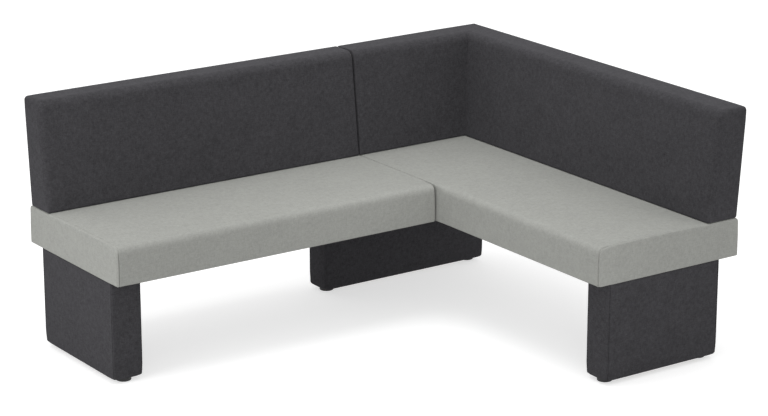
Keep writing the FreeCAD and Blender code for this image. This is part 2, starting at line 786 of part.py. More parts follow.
def make_back(name, wing, start, end, studs, open_start=False, open_end=False):
    """One back panel from start to end along its wing; an open end runs into the mitre."""
    beyond = {(False, True): beyond_corner_back, (True, False): beyond_right_back}.get((open_start, open_end))
    where = wing_placement(wing)
    inner_start = start if open_start else start + size.back_wrap
    inner_end = end if open_end else end - size.back_wrap
    low, high = place.back_frame_z, place.back_frame_top_z

    def finish(label, shape, drilled=False):
        thing = shape_object(name + "_" + label + "_blank", shape, where)
        if beyond:
            thing = cut(name + "_" + label + "_mitred", thing, beyond, refine=label != "cover")
        if drilled:
            thing = cut(name + "_" + label + "_drilled", thing, steel_drilling)
        return keep(name + "_" + label, thing)

    foam_front = size.back_wrap + size.back_swell
    board_front = foam_front + size.back_foam_thick
    board_rear = board_front + size.face_board_thick
    sheet_rear = size.back_wrap + size.rear_board_thick
    finish("foam", front_sheet(inner_start, inner_end, foam_front, board_front, low, high))
    finish("face_board", front_sheet(inner_start, inner_end, board_front, board_rear, low, high))
    finish("rear_board", rear_sheet(inner_start, inner_end, size.back_wrap, sheet_rear, low, high))

    plane = -place.bracket_plane
    mid = low + size.back_mid_rail_up
    top_rail_low = high - size.back_top_rail_high
    pieces = [
        block(inner_start, inner_end, plane, back_rear(low) - sheet_rear, low, low + size.back_rail_high),
        block(inner_start, inner_end, plane, back_rear(mid) - sheet_rear, mid, mid + size.back_rail_high),
        leaning(inner_start, inner_end, board_rear, sheet_rear, top_rail_low, high),
    ]
    for u in studs:
        sides = (u - size.stud_thick / 2, u + size.stud_thick / 2)
        front_low, front_high = back_front(low) + board_rear, back_front(top_rail_low) + board_rear
        pieces.append(
            prism(*sides, [(front_low, low), (front_high, top_rail_low), (plane, top_rail_low), (plane, low)])
        )
    finish("frame", Part.makeCompound(pieces), drilled=True)

    form = back_form(end - start, not open_start, not open_end)
    form.translate(Vector(start, 0, 0))
    hollow = leaning(inner_start, inner_end, foam_front, size.back_wrap, low, high)
    turn = size.back_wrap + size.back_turn
    mouth = block(
        start if open_start else start + turn,
        end if open_end else end - turn,
        back_front(low) + turn,
        back_rear(low) - turn,
        place.back_z - size.overrun,
        place.back_frame_z + size.overrun,
    )
    finish("cover", form.cut([hollow, mouth]))


def between(first, last, count):
    """Evenly spread places, the first and the last included."""
    return [first + (last - first) * number / (count - 1) for number in range(count)]


gap = size.soft_gap / 2
mitre_end = size.back_overhang + size.overrun
make_back(
    "long_back",
    LONG,
    0,
    place.long_seat_long - gap,
    between(size.stud_inset, place.long_seat_long - size.stud_inset, 4),
)
make_back(
    "corner_back",
    CORNER,
    gap,
    size.corner_width + mitre_end,
    [size.stud_inset, size.corner_width - back_reach - size.stud_inset],
    open_end=True,
)
make_back(
    "right_back",
    RIGHT,
    -mitre_end,
    size.right_wing,
    between(back_reach + size.stud_inset, size.right_wing - size.stud_inset, 4),
    open_start=True,
)

# Steel that carries and joins the backs
bars = shape_object("bars", Part.makeCompound([bracket(wing, u) for wing, u in BRACKETS]))
keep("back_brackets", cut("drilled_bars", bars, steel_drilling))


def corner_angle(z):
    """A steel angle on the front of the rails, round the inside of the corner."""
    inner = place.bracket_plane
    outer = inner + size.angle_thick
    far = inner + size.angle_long
    steps = [(inner, inner), (far, inner), (far, outer), (outer, outer), (outer, far), (inner, far)]
    points = [Vector(place.right_x - a, place.rear_y - b, z) for a, b in steps]
    return Part.Face(Part.makePolygon(points + points[:1])).extrude(Vector(0, 0, size.angle_high))


angles = shape_object("angle_pair", Part.makeCompound([corner_angle(z) for z in ANGLE_HEIGHTS]))
keep("corner_angles", cut("drilled_angles", angles, steel_drilling))
keep("bracket_screws", shape_object("bracket_screw_set", Part.makeCompound(steel_screws)))

# Plates under the seat joint
plate_long = 2 * (link_screw_x + size.link_margin)
plates = shape_object(
    "plate_pair",
    Part.makeCompound(
        [
            Part.makeBox(
                plate_long,
                size.link_wide,
                size.link_thick,
                Vector(place.joint_x - plate_long / 2, y - size.link_wide / 2, link_z),
            )
            for y in LINK_PLATES_Y
        ]
    ),
)
keep("joining_plates", cut("drilled_plates", plates, link_drilling))
link_screws = [link_screw(x, y) for x, y in LINK_SCREWS]
keep("joining_screws", shape_object("link_screw_set", Part.makeCompound(link_screws)))

# Bolts and nuts of the legs
keep("leg_bolts", shape_object("leg_bolt_set", Part.makeCompound([leg_bolt(x, y) for x, y in LEG_BOLTS])))
keep("leg_nuts", shape_object("leg_nut_set", Part.makeCompound([leg_nut(x, y) for x, y in LEG_BOLTS])))


# Legs: a plywood box in a fabric cover


def origin_plane(body, role):
    return next(item for item in body.Origin.OriginFeatures if item.Role == role)


def rectangle(body, name, long, wide, inset):
    """A sketch of a rectangle in the XY plane, set in from the body's own corner."""
    sketch = body.newObject("Sketcher::SketchObject", name)
    sketch.AttachmentSupport = (origin_plane(body, "XY_Plane"), "")
    sketch.MapMode = "FlatFace"
    nominal = [Vector(1, 1, 0), Vector(2, 1, 0), Vector(2, 2, 0), Vector(1, 2, 0)]
    for index in range(4):
        sketch.addGeometry(Part.LineSegment(nominal[index], nominal[(index + 1) % 4]))
    for index in range(4):
        sketch.addConstraint(Sketcher.Constraint("Coincident", index, 2, (index + 1) % 4, 1))
    for index, kind in enumerate(("Horizontal", "Vertical", "Horizontal", "Vertical")):
        sketch.addConstraint(Sketcher.Constraint(kind, index))
    for kind, edge, formula in (("DistanceX", 0, long), ("DistanceY", 1, wide)):
        number = sketch.addConstraint(Sketcher.Constraint(kind, edge, 1, edge, 2, 1.0))
        sketch.setExpression(f"Constraints[{number}]", in_sheets(f"{formula} - 2 * ({inset})"))
    for kind in ("DistanceX", "DistanceY"):
        number = sketch.addConstraint(Sketcher.Constraint(kind, -1, 1, 0, 1, 1.0))
        sketch.setExpression(f"Constraints[{number}]", in_sheets(inset))
    return sketch


def rounded(body, feature, name, edges, radius):
    doc.recompute()
    fillet = body.newObject("PartDesign::Fillet", name)
    picked = [f"Edge{number}" for number, edge in enumerate(feature.Shape.Edges, start=1) if edges(edge)]
    fillet.Base = (feature, picked)
    bind(fillet, Radius=radius)
    return fillet


def is_upright(edge):
    return edge.BoundBox.ZLength > size.leg_high / 2


def make_leg(name, x, y, long, wide):
    """A slab leg from the formulas of its corner and its two sides."""
    body = doc.addObject("PartDesign::Body", name + "_sleeve")
    bind_place(body, x, y, "foot_high")
    slab = body.newObject("PartDesign::Pad", name + "_slab")
    slab.Profile = rectangle(body, name + "_outline", long, wide, "0")
    bind(slab, Length="leg_high")
    upright = rounded(body, slab, name + "_upright_rounds", is_upright, "leg_side_round")
    low = rounded(
        body,
        upright,
        name + "_low_rounds",
        lambda edge: edge.BoundBox.ZMax < size.fabric / 2,
        "leg_low_round",
    )
    hollow = body.newObject("PartDesign::Pocket", name + "_hollow")
    hollow.Profile = rectangle(body, name + "_hollow_outline", long, wide, "leg_wrap")
    hollow.Profile[0].AttachmentOffset = Placement(Vector(0, 0, size.fabric), Rotation())
    hollow.Profile[0].setExpression(".AttachmentOffset.Base.z", in_sheets("fabric"))
    hollow.Reversed = True
    bind(hollow, Length="leg_high")
    mouth = body.newObject("PartDesign::Pocket", name + "_mouth")
    mouth.Profile = rectangle(body, name + "_mouth_outline", long, wide, "leg_wrap + leg_turn")
    mouth.Reversed = True
    bind(mouth, Length="leg_high")
    keep(name + "_cover", body)

    def inner_box(part, dx, dy, z, length, width, high):
        thing = doc.addObject("Part::Box", name + "_" + part)
        bind(thing, Length=length, Width=width, Height=high)
        bind_place(thing, f"{x} + {dx}", f"{y} + {dy}", z)
        return thing

    inner_long = f"{long} - 2 * leg_wrap"
    inner_wide = f"{wide} - 2 * leg_wrap"
    caps = [
        inner_box(part, "leg_wrap", "leg_wrap", z, inner_long, inner_wide, "leg_cap_thick")
        for part, z in (("foot_board", "leg_frame_z"), ("head_board", "seat_z - leg_cap_thick"))
    ]
    cap_pair = group(name + "_cap_pair", caps)
    keep(name + "_boards", cut(name + "_drilled_caps", cap_pair, cap_drilling))
    panel_z = "leg_frame_z + leg_cap_thick"
    panel_high = "leg_high - fabric - 2 * leg_cap_thick"
    panels = [
        inner_box(part, "leg_wrap", dy, panel_z, inner_long, "leg_panel_thick", panel_high)
        for part, dy in (("near_side", "leg_wrap"), ("far_side", f"{wide} - leg_wrap - leg_panel_thick"))
    ]
    panels += [
        inner_box(
            part,
            dx,
            "leg_wrap + leg_panel_thick",
            panel_z,
            "leg_panel_thick",
            f"{inner_wide} - 2 * leg_panel_thick",
            panel_high,
        )
        for part, dx in (("near_end", "leg_wrap"), ("far_end", f"{long} - leg_wrap - leg_panel_thick"))
    ]
    keep(name + "_panels", group(name + "_panel_set", panels))


make_leg("left_leg", "left_leg_x", "left_leg_y", "leg_thick", "end_leg_long")
make_leg("corner_leg", "corner_leg_x", "corner_leg_y", "corner_leg_long", "leg_thick")
make_leg("right_leg", "right_leg_x", "right_leg_y", "end_leg_long", "leg_thick")

# Levelling feet


def revolved(points, bulges=()):
    """A turned shape round Z: each point is a radius and a height; bulges maps a point's number
    to the middle of the arc that leaves it."""
    edges = []
    spots = [Vector(radius, 0, z) for radius, z in points]
    bulges = dict(bulges)
    for index, spot in enumerate(spots):
        following = spots[(index + 1) % len(spots)]
        if index in bulges:
            radius, z = bulges[index]
            edges.append(Part.Arc(spot, Vector(radius, 0, z), following).toShape())
        else:
            edges.append(Part.LineSegment(spot, following).toShape())
    return Part.Face(Part.Wire(edges)).revolve(Vector(0, 0, 0), Vector(0, 0, 1), 360)


def foot_pad():
    bore = size.stem_radius + size.part_gap
    bore_z = size.foot_high - size.stem_in_pad
    rim = size.foot_rim_round
    lean = rim * (1 - math.sqrt(1 / 2))
    points = [
        (0, 0),
        (size.foot_radius - rim, 0),
        (size.foot_radius, rim),
        (size.foot_radius, size.foot_rim_high),
        (size.foot_neck_radius, size.foot_high),
        (bore, size.foot_high),
        (bore, bore_z),
        (0, bore_z),
    ]
    return revolved(points, {1: (size.foot_radius - lean, lean)})


def foot_stem():
    foot = size.foot_high - size.stem_in_pad
    return disc(Vector(0, 0, foot), size.stem_radius, size.stem_in_pad + size.stem_long)


def foot_nut():
    bore = size.stem_radius + size.stem_gap
    flange_z, barrel_z = size.foot_high, place.leg_frame_z
    top_z = barrel_z + size.foot_nut_long
    return revolved(
        [
            (bore, flange_z),
            (size.foot_nut_flange_radius, flange_z),
            (size.foot_nut_flange_radius, barrel_z),
            (size.foot_nut_radius, barrel_z),
            (size.foot_nut_radius, top_z),
            (bore, top_z),
        ]
    )


def moved(shape, x, y):
    shape = shape.copy()
    shape.translate(Vector(x, y, 0))
    return shape


for name, (x, y) in FEET.items():
    keep(name + "_foot_pad", shape_object(name + "_pad", foot_pad(), Placement(Vector(x, y, 0), Rotation())))
    keep(name + "_foot_stem", shape_object(name + "_stem", foot_stem(), Placement(Vector(x, y, 0), Rotation())))
keep(
    "foot_nuts",
    shape_object("foot_nut_set", Part.makeCompound([moved(foot_nut(), x, y) for x, y in FEET.values()])),
)

# Checks, then one file for each sub-part
doc.recompute()
for thing in doc.Objects:
    if "Invalid" in thing.State or "Error" in thing.State:
        raise RuntimeError(thing.Name + " failed to compute")
for label, thing in nodes.items():
    if thing.Shape.isNull() or not thing.Shape.isValid() or not thing.Shape.Solids:
        raise RuntimeError(label + " has no sound shape")
    if min(solid.Volume for solid in thing.Shape.Solids) <= 0:
        raise RuntimeError(label + " has a solid turned inside out")

os.makedirs("parts", exist_ok=True)
for label, thing in nodes.items():
    thing.Shape.exportStep(f"parts/{label}.step")
whole = Part.makeCompound([thing.Shape for thing in nodes.values()]).BoundBox
print(len(nodes), "sub-parts")
print("outline", whole.XMin, whole.XMax, whole.YMin, whole.YMax, whole.ZMin, whole.ZMax)
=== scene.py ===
# %% [markdown]
# # A corner banquette, dressed in its fabric
# The construction is already made: boards, foam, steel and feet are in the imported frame, each
# where it belongs. This notebook makes what the eye meets. Light grey velour lies on two seats,
# charcoal velour on three leaning backs and three slab legs, and the legs stand on round black
# feet.

# %% The frame and its box
import json
import math

import bpy
import numpy as np
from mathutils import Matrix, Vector


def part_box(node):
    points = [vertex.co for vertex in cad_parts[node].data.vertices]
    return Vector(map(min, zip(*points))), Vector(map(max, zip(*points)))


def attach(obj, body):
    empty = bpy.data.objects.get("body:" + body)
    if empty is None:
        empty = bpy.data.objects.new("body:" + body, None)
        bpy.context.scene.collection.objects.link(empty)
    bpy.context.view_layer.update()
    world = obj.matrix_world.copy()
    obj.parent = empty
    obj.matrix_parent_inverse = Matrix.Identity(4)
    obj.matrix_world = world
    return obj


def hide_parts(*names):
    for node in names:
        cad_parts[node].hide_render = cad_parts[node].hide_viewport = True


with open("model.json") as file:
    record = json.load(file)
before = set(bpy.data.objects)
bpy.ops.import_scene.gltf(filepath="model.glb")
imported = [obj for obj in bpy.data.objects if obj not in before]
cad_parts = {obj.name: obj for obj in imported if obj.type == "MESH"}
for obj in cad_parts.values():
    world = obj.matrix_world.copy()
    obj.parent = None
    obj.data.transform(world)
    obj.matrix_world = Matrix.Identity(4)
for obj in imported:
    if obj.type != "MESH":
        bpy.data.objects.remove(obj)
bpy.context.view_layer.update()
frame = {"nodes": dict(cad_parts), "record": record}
MM = 0.001

# %% [markdown]
# ## The camera
# A camera that was fitted to the straight edges of the bench stands far off with a long lens, so
# the edges stay nearly parallel. Its place, turn and tilt come first, because every look at a
# piece is judged from here.

# %% The camera's place and lens
CAMERA_PLACE = (-4.882, -7.013, 3.093)
CAMERA_TURN = 0.609
CAMERA_TILT = 0.295
PHOTO_WIDE = 768
FOCAL_PIXELS = 2629.5
SENSOR_MM = 36
FULL_ROTATION = 2 * math.pi

bpy.ops.object.camera_add(location=CAMERA_PLACE)
camera = bpy.context.object
camera.rotation_euler = (FULL_ROTATION / 4 - CAMERA_TILT, 0, -CAMERA_TURN)
camera.data.sensor_width = SENSOR_MM
camera.data.lens = FOCAL_PIXELS * SENSOR_MM / PHOTO_WIDE
bpy.context.scene.camera = camera
bpy.context.scene.view_settings.view_transform = "Standard"
print("lens", round(camera.data.lens, 1), "mm")

# %% [markdown]
# ## Working by hand
# Blender's operators act on what is selected, so each step starts with one piece selected alone. A
# piece is then a list of points that can be read, moved and written back.


# %% Select one piece, read its points and write them back
def alone(piece):
    bpy.ops.object.select_all(action="DESELECT")
    piece.select_set(True)
    bpy.context.view_layer.objects.active = piece


def points_of(piece):
    points = np.zeros(len(piece.data.vertices) * 3)
    piece.data.vertices.foreach_get("co", points)
    return points.reshape(-1, 3)


def move_points(piece, points):
    piece.data.vertices.foreach_set("co", points.ravel())
    piece.data.update()


def normals_of(piece):
    normals = np.zeros(len(piece.data.vertices) * 3)
    piece.data.vertices.foreach_get("normal", normals)
    return normals.reshape(-1, 3)


def smooth_step(low, high, value):
    """0 below low, 1 above high, and a soft change between them."""
    share = np.clip((value - low) / (high - low), 0, 1)
    return share * share * (3 - 2 * share)


# %% [markdown]
# ## A block that can be shaped
# A cushion could be a subdivided cage, but then nobody knows how round its edges come out. Here a
# cube is cut across, like a loaf, at chosen places. The cuts crowd where an edge will be rounded
# or a seam will run, and they are wide apart where the fabric lies flat.

# %% A cube at its size, cut across
EDGE_CUTS = (1.5, 3, 4.5, 6)
SEAM_CUTS = (-4.4, -2.8, -1.6, -0.7, 0, 0.7, 1.6, 2.8, 4.4)
CUTS_APART = MM / 2


def block(name, low, high):
    bpy.ops.object.select_all(action="DESELECT")
    middle = [(a + b) / 2 for a, b in zip(low, high)]
    bpy.ops.mesh.primitive_cube_add(size=1, location=middle)
    piece = bpy.context.object
    piece.name = piece.data.name = name
    piece.scale = [b - a for a, b in zip(low, high)]
    bpy.ops.object.transform_apply(location=True, rotation=False, scale=True)
    return piece


def cut_across(piece, cuts):
    """Cut the piece at each place along X, Y and Z; cuts holds one list for each direction."""
    alone(piece)
    bpy.ops.object.mode_set(mode="EDIT")
    for direction, places in enumerate(cuts):
        normal = [0, 0, 0]
        normal[direction] = 1
        for place in places:
            bpy.ops.mesh.select_all(action="SELECT")
            spot = [0, 0, 0]
            spot[direction] = place
            bpy.ops.mesh.bisect(plane_co=spot, plane_no=normal)
    bpy.ops.object.mode_set(mode="OBJECT")


def places_between(low, high, near_mm, far_mm, step, seams=()):
    """Places for cuts: some millimetres in from each end, even steps between, and round seams."""
    near = [low + share * MM for share in near_mm]
    far = [high - share * MM for share in far_mm]
    count = max(int(round((far[-1] - near[-1]) / step)), 1)
    even = [near[-1] + (far[-1] - near[-1]) * number / count for number in range(1, count)]
    places = near + even + far
    for seam in seams:
        for share in SEAM_CUTS:
            spot = seam + share * MM
            places = [place for place in places if abs(place - spot) > CUTS_APART] + [spot]
    return sorted(places)


# %% [markdown]
# ## Rounding the edges
# A bevel has one width along an edge. Upholstery doesn't: the same edge is soft in the open and
# pressed flat where another cushion stands against it. So the points themselves move. Each one is
# pulled towards a smaller core inside the block until it lies on a round shoulder, and how round
# that is may differ from side to side and from point to point.


# %% Pull the points onto round shoulders
NEARLY_NOTHING = 1e-9
SMOOTH_LEVELS = 1


def round_off(piece, low, high, low_rounds, high_rounds):
    """The rounds are one value for X, Y and Z, or a row of them for each point."""
    points = points_of(piece)
    near = np.broadcast_to(np.asarray(low_rounds, float), points.shape)
    far = np.broadcast_to(np.asarray(high_rounds, float), points.shape)
    core = np.clip(points, np.asarray(low) + near, np.asarray(high) - far)
    reach = np.where(points < core, near, far)
    lean = (points - core) / reach
    length = np.linalg.norm(lean, axis=1)
    biggest = np.abs(lean).max(axis=1)
    pull = np.where(length > 0, biggest / np.maximum(length, NEARLY_NOTHING), 1)
    move_points(piece, core + lean * reach * pull[:, None])


def refined(piece):
    """Smooth the piece with a subdivision surface and keep the result."""
    alone(piece)
    modifier = piece.modifiers.new("finer", "SUBSURF")
    modifier.levels = modifier.render_levels = SMOOTH_LEVELS
    bpy.ops.object.modifier_apply(modifier=modifier.name)
    bpy.ops.object.shade_smooth()


# %% [markdown]
# ## Plumping a cover
# A cover is sewn a little tight and the foam pushes out from inside. Cloth with air pressure finds
# that shape by itself: the middle of each side swells and the corners and seams hold it back. Foam
# never lets the fabric sink in, so only the outward part of the move counts. It is scaled to the
# rise that the bench has, and no point may go further than a cap.

# %% Cloth with pressure, held where the cover is fixed
CLOTH_FRAMES = 20
AIR_PRESSURE = 4
HOLD_LEVELS = 10
NEARLY_ALL_PERCENT = 99


def blown_up(piece, held):
    """Where a cover's points go under pressure; held is 1 where it is fixed and 0 where free."""
    group = piece.vertex_groups.new(name="held")
    for level in range(1, HOLD_LEVELS + 1):
        members = np.nonzero(np.round(held * HOLD_LEVELS) == level)[0]
        group.add([int(number) for number in members], level / HOLD_LEVELS, "REPLACE")
    cloth = piece.modifiers.new("cloth", "CLOTH")
    cloth.settings.vertex_group_mass = group.name
    cloth.settings.use_pressure = True
    cloth.settings.uniform_pressure_force = AIR_PRESSURE
    cloth.settings.effector_weights.gravity = 0
    cloth.collision_settings.use_collision = False
    cloth.point_cache.frame_start = 1
    cloth.point_cache.frame_end = CLOTH_FRAMES
    for number in range(1, CLOTH_FRAMES + 1):
        bpy.context.scene.frame_set(number)
    shown = piece.evaluated_get(bpy.context.evaluated_depsgraph_get()).to_mesh()
    after = np.zeros(len(shown.vertices) * 3)
    shown.vertices.foreach_get("co", after)
    piece.modifiers.remove(cloth)
    piece.vertex_groups.remove(group)
    bpy.context.scene.frame_set(1)
    return after.reshape(-1, 3)


def plump(piece, held, rise, most):
    start, out = points_of(piece), normals_of(piece)
    moved = ((blown_up(piece, held) - start) * out).sum(axis=1)
    outward = np.maximum(moved, 0) * (1 - held)
    swelling = np.minimum(outward * rise / np.percentile(outward, NEARLY_ALL_PERCENT), most)
    move_points(piece, start + out * swelling[:, None])
    print(piece.name, "swells by up to", round(float(swelling.max()) / MM, 1), "mm")


# %% [markdown]
# ## Sewing a seam
# Where two panels are sewn, the stitches pull a narrow valley into the padding and the fabric
# rolls up a little on both sides. A dark painted line would look right from one side only. A
# valley in the mesh catches the light by itself. Thread tension is never quite even, so the depth
# wanders a little.

# %% A valley with a soft roll on each side
SEAM_DEEP = 3.0 * MM
SEAM_HALF = 1.5 * MM
ROLL_SHARE = 0.2
ROLL_AWAY = 4.2 * MM
ROLL_HALF = 2.0 * MM
TOP_FADE = 0.5
WANDER = 0.2
WANDER_RATE = 61
SLOWER = 2.7


def sew(piece, direction, place, deep=SEAM_DEEP):
    """Sink a seam all round the piece where the points' X or Y is at the place."""
    points, out = points_of(piece), normals_of(piece)
    away = np.abs(points[:, direction] - place)
    along = points[:, 1 - direction] + points[:, 2]
    wave = np.sin(along * WANDER_RATE) * np.cos(along * WANDER_RATE / SLOWER)
    deep = deep * (1 + WANDER * wave)
    deep *= 1 - TOP_FADE * np.clip(out[:, 2], 0, 1)
    valley = -deep * np.exp(-((away / SEAM_HALF) ** 2))
    roll = ROLL_SHARE * deep * np.exp(-(((away - ROLL_AWAY) / ROLL_HALF) ** 2))
    move_points(piece, points + out * (valley + roll)[:, None])


# %% [markdown]
# ## Measures of the bench
# All of these are read from the frame, so the dressed bench can't drift away from the built one.

# %% Planes and heights
long_low, long_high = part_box("long_seat_cover")
corner_low, corner_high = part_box("corner_seat_cover")
back_low, back_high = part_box("long_back_cover")
left_x = long_low.x
rear_y = long_high.y
right_x = corner_high.x
front_y = corner_low.y
joint_x = (long_high.x + corner_low.x) / 2
seat_z = long_low.z
back_z = back_low.z
top_z = back_high.z
BACK_FOOT_FRONT = 135 * MM
print("seat from", round(seat_z, 4), "to", round(back_z, 4), "back up to", round(top_z, 4))

# %% [markdown]
# ## The seats
# Each seat is one cushion on its wooden frame. One panel of fabric covers the top and rolls softly
# over the front, and the ends are panels of their own, sewn on along a seam that runs over the top
# and down the front, close to the end. The seat is level under the back, which stands on it, and
# crowned in the open. Where the two seats meet they press each other, so the joint on top is only
# a fine groove, but at the front the long seat's end stands free and leaves a dark slot.
#
# Both seats are the same kind of piece, so one function makes them lying along X, with the free
# end at 0 and the front at 0. The corner seat is then turned over its diagonal to run along Y.

# %% Sizes of the seats' softness
SEAT_STEP = 15 * MM
FRONT_CUTS = (1.5, 3, 4.5, 6, 9, 12.5, 17, 22)
TOP_CUTS = (1.5, 3, 4.5, 6, 9.5, 13.5, 18.5, 26)
REAR_CUTS = (3.5, 7.5, 11, 15)
LOW_CUTS = (1, 2, 3, 4)
TURN_CUTS = (24, 40, 41)
UPRIGHT_CUTS = (1.5, 3, 4.5, 6, 9, 12)
EDGE_ROUND = 6 * MM
UPRIGHT_ROUND = 12 * MM
FRONT_ROUND = 22 * MM
TOP_ROUND = 26 * MM
REAR_ROUND = 15 * MM
LOW_ROUND = 4 * MM
PROUD = 2 * MM
END_PROUD = 3.5 * MM
CORNER_FRONT_PROUD = -3 * MM
CORNER_REAR_PROUD = 4 * MM
LONG_SEAM_IN = 6.5 * MM
CORNER_SEAM_IN = 3 * MM
SEAT_RISE = 4.5 * MM
SEAT_MOST = 6 * MM
CROWN = 3 * MM
TURNED_UNDER = 40.5 * MM
SHEET_RECESS = 1.6 * MM
LOWEST = MM / 2
JOINT_GAP = 0.7 * MM
SLOT_WIDE = 3.2 * MM
SLOT_DEEP = 130 * MM
UNDER_BACK_GAP = 0.3 * MM

# %% How far that softness reaches: from where it starts to where it is full
ROUND_FADE = 65 * MM
PRESS_BEFORE, PRESS_AFTER = 60 * MM, 10 * MM
BACK_FADE = 40 * MM
END_HELD = (-34 * MM, -4 * MM)
END_DRAWN_IN = (-40 * MM, -6 * MM)
END_LESS_CROWNED = (-220 * MM, -20 * MM)
END_CROWN_LOST = 0.7
FRONT_HELD = (4 * MM, 34 * MM)
FRAME_HELD = (2 * MM, 20 * MM)
CROWN_BELOW_TOP = 4 * MM
CROWN_POWER = 3


def seat_rounds(points, low, high, pressed, end_round):
    """How round each point's shoulders are; pressed is 1 where the front meets the other seat."""
    near_top = smooth_step(-ROUND_FADE, -TOP_ROUND, points[:, 2] - high[2])
    near_front = (1 - smooth_step(TOP_ROUND, ROUND_FADE, points[:, 1] - low[1])) * (1 - pressed)
    near_rear = smooth_step(-ROUND_FADE, -REAR_ROUND, points[:, 1] - high[1])
    if end_round == REAR_ROUND:
        far_end = smooth_step(-ROUND_FADE, -REAR_ROUND, points[:, 0] - high[0])
        near_rear = np.maximum(near_rear, far_end)
    near, far = np.full_like(points, EDGE_ROUND), np.full_like(points, EDGE_ROUND)
    near_end = 1 - smooth_step(TOP_ROUND, ROUND_FADE, points[:, 0] - low[0])
    near[:, 0] += (UPRIGHT_ROUND - EDGE_ROUND) * near_front
    near[:, 1] += (UPRIGHT_ROUND - EDGE_ROUND) * near_end
    near[:, 1] += (FRONT_ROUND - near[:, 1]) * near_top * (1 - pressed)
    near[:, 2] = LOW_ROUND
    far[:, 0] += (end_round - EDGE_ROUND) * near_top
    far[:, 1] += (REAR_ROUND - EDGE_ROUND) * near_top
    far[:, 2] += (TOP_ROUND - EDGE_ROUND) * near_front + (REAR_ROUND - EDGE_ROUND) * near_rear
    return near, far


def recess_underside(piece, low, high, turned, lift):
    """Lift the underside inside the turned edge, to make room for what closes it."""
    points = points_of(piece)
    inside = points[:, 2] < low[2] + LOWEST
    for direction in (0, 1):
        inside &= points[:, direction] > low[direction] + turned
        inside &= points[:, direction] < high[direction] - turned
    points[inside, 2] += lift
    move_points(piece, points)


# %% One seat, lying along X
def seat_block(name, low, high, far_cuts, seam_in):
    """The seat's block, cut across at its edges, at its seam and where fabric is turned under."""
    piece = block(name, low, high)
    start_cuts, end_cuts = UPRIGHT_CUTS + TURN_CUTS, far_cuts + TURN_CUTS
    front_cuts, rear_cuts = FRONT_CUTS + TURN_CUTS[1:], REAR_CUTS + TURN_CUTS
    cuts = (
        places_between(low[0], high[0], start_cuts, end_cuts, SEAT_STEP, [seam_in]),
        places_between(low[1], high[1], front_cuts, rear_cuts, SEAT_STEP),
        places_between(low[2], high[2], LOW_CUTS, TOP_CUTS, SEAT_STEP),
    )
    cut_across(piece, cuts)
    return piece


def make_seat(name, long, wide, seam_in, front_proud, rear_proud, meets_from=None):
    """Its front meets the other seat from meets_from on. Without that, its far end does."""
    if meets_from is None:
        far_proud, far_cuts, end_round = 0, EDGE_CUTS, EDGE_ROUND
    else:
        far_proud, far_cuts, end_round = PROUD, REAR_CUTS, REAR_ROUND
    tall = back_z - UNDER_BACK_GAP - seat_z
    low, high = (-END_PROUD, -front_proud, 0), (long + far_proud, wide + rear_proud, tall)
    piece = seat_block(name, low, high, far_cuts, seam_in)
    points = points_of(piece)
    if meets_from is None:
        pressed = np.zeros(len(points))
    else:
        pressed = smooth_step(meets_from - PRESS_BEFORE, meets_from + PRESS_AFTER, points[:, 0])
    round_off(piece, low, high, *seat_rounds(points, low, high, pressed, end_round))
    recess_underside(piece, low, high, TURNED_UNDER, SHEET_RECESS)

    points = points_of(piece)
    foot = wide - BACK_FOOT_FRONT
    across = np.clip(points[:, 1] / foot, 0, 1)
    near_top = smooth_step(tall / 2, tall - CROWN_BELOW_TOP, points[:, 2])
    crown = CROWN * (1 - np.abs(2 * across - 1) ** CROWN_POWER) * near_top
    under_back = smooth_step(foot - BACK_FADE, foot, points[:, 1])
    if meets_from is None:
        at_joint = smooth_step(*END_HELD, points[:, 0] - long)
        slot = 1 - smooth_step(0, SLOT_DEEP, points[:, 1])
        drawn_in = smooth_step(*END_DRAWN_IN, points[:, 0] - long)
        points[:, 0] -= (JOINT_GAP + SLOT_WIDE * slot) * drawn_in
        crown *= 1 - smooth_step(*END_LESS_CROWNED, points[:, 0] - long) * END_CROWN_LOST
    else:
        at_joint = pressed * (1 - smooth_step(*FRONT_HELD, points[:, 1]))
        points[:, 1] += (JOINT_GAP + front_proud) * at_joint
        under_end_back = smooth_step(-BACK_FADE, 0, points[:, 0] - long + BACK_FOOT_FRONT)
        under_back = np.maximum(under_back, under_end_back)
        crown *= 1 - under_back
    points[:, 2] += crown
    move_points(piece, points)

    on_frame = 1 - smooth_step(*FRAME_HELD, points[:, 2])
    plump(piece, np.maximum.reduce([on_frame, under_back, at_joint]), SEAT_RISE, SEAT_MOST)
    refined(piece)
    sew(piece, 0, seam_in)
    return piece


# %% The long seat where it belongs
long_seat = make_seat(
    "long_seat_fabric",
    joint_x - left_x,
    rear_y - long_low.y,
    LONG_SEAM_IN,
    PROUD,
    PROUD,
)
points = points_of(long_seat)
move_points(long_seat, points + [left_x, long_low.y, seat_z])
print("long seat", len(long_seat.data.polygons), "faces")


# %% The corner seat, turned over its diagonal
def turn_over(piece):
    """Swap X and Y, and turn the faces so that they point outwards again."""
    points = points_of(piece)
    move_points(piece, points[:, [1, 0, 2]])
    alone(piece)
    bpy.ops.object.mode_set(mode="EDIT")
    bpy.ops.mesh.select_all(action="SELECT")
    bpy.ops.mesh.flip_normals()
    bpy.ops.object.mode_set(mode="OBJECT")


meets_from = long_low.y - front_y
corner_seat = make_seat(
    "corner_seat_fabric",
    rear_y - front_y,
    right_x - joint_x,
    CORNER_SEAM_IN,
    CORNER_FRONT_PROUD,
    CORNER_REAR_PROUD,
    meets_from,
)
turn_over(corner_seat)
points = points_of(corner_seat)
move_points(corner_seat, points + [joint_x, front_y, seat_z])
print("corner seat", len(corner_seat.data.polygons), "faces")

# %% [markdown]
# ## The backs
# A back is an upholstered panel that leans rearwards and gets thinner towards its top. It is made
# upright, as a block as thick as its foot, rounded and plumped, and then leaned. The two backs of
# the corner unit run into each other on a mitre, so both are made too long and cut there.

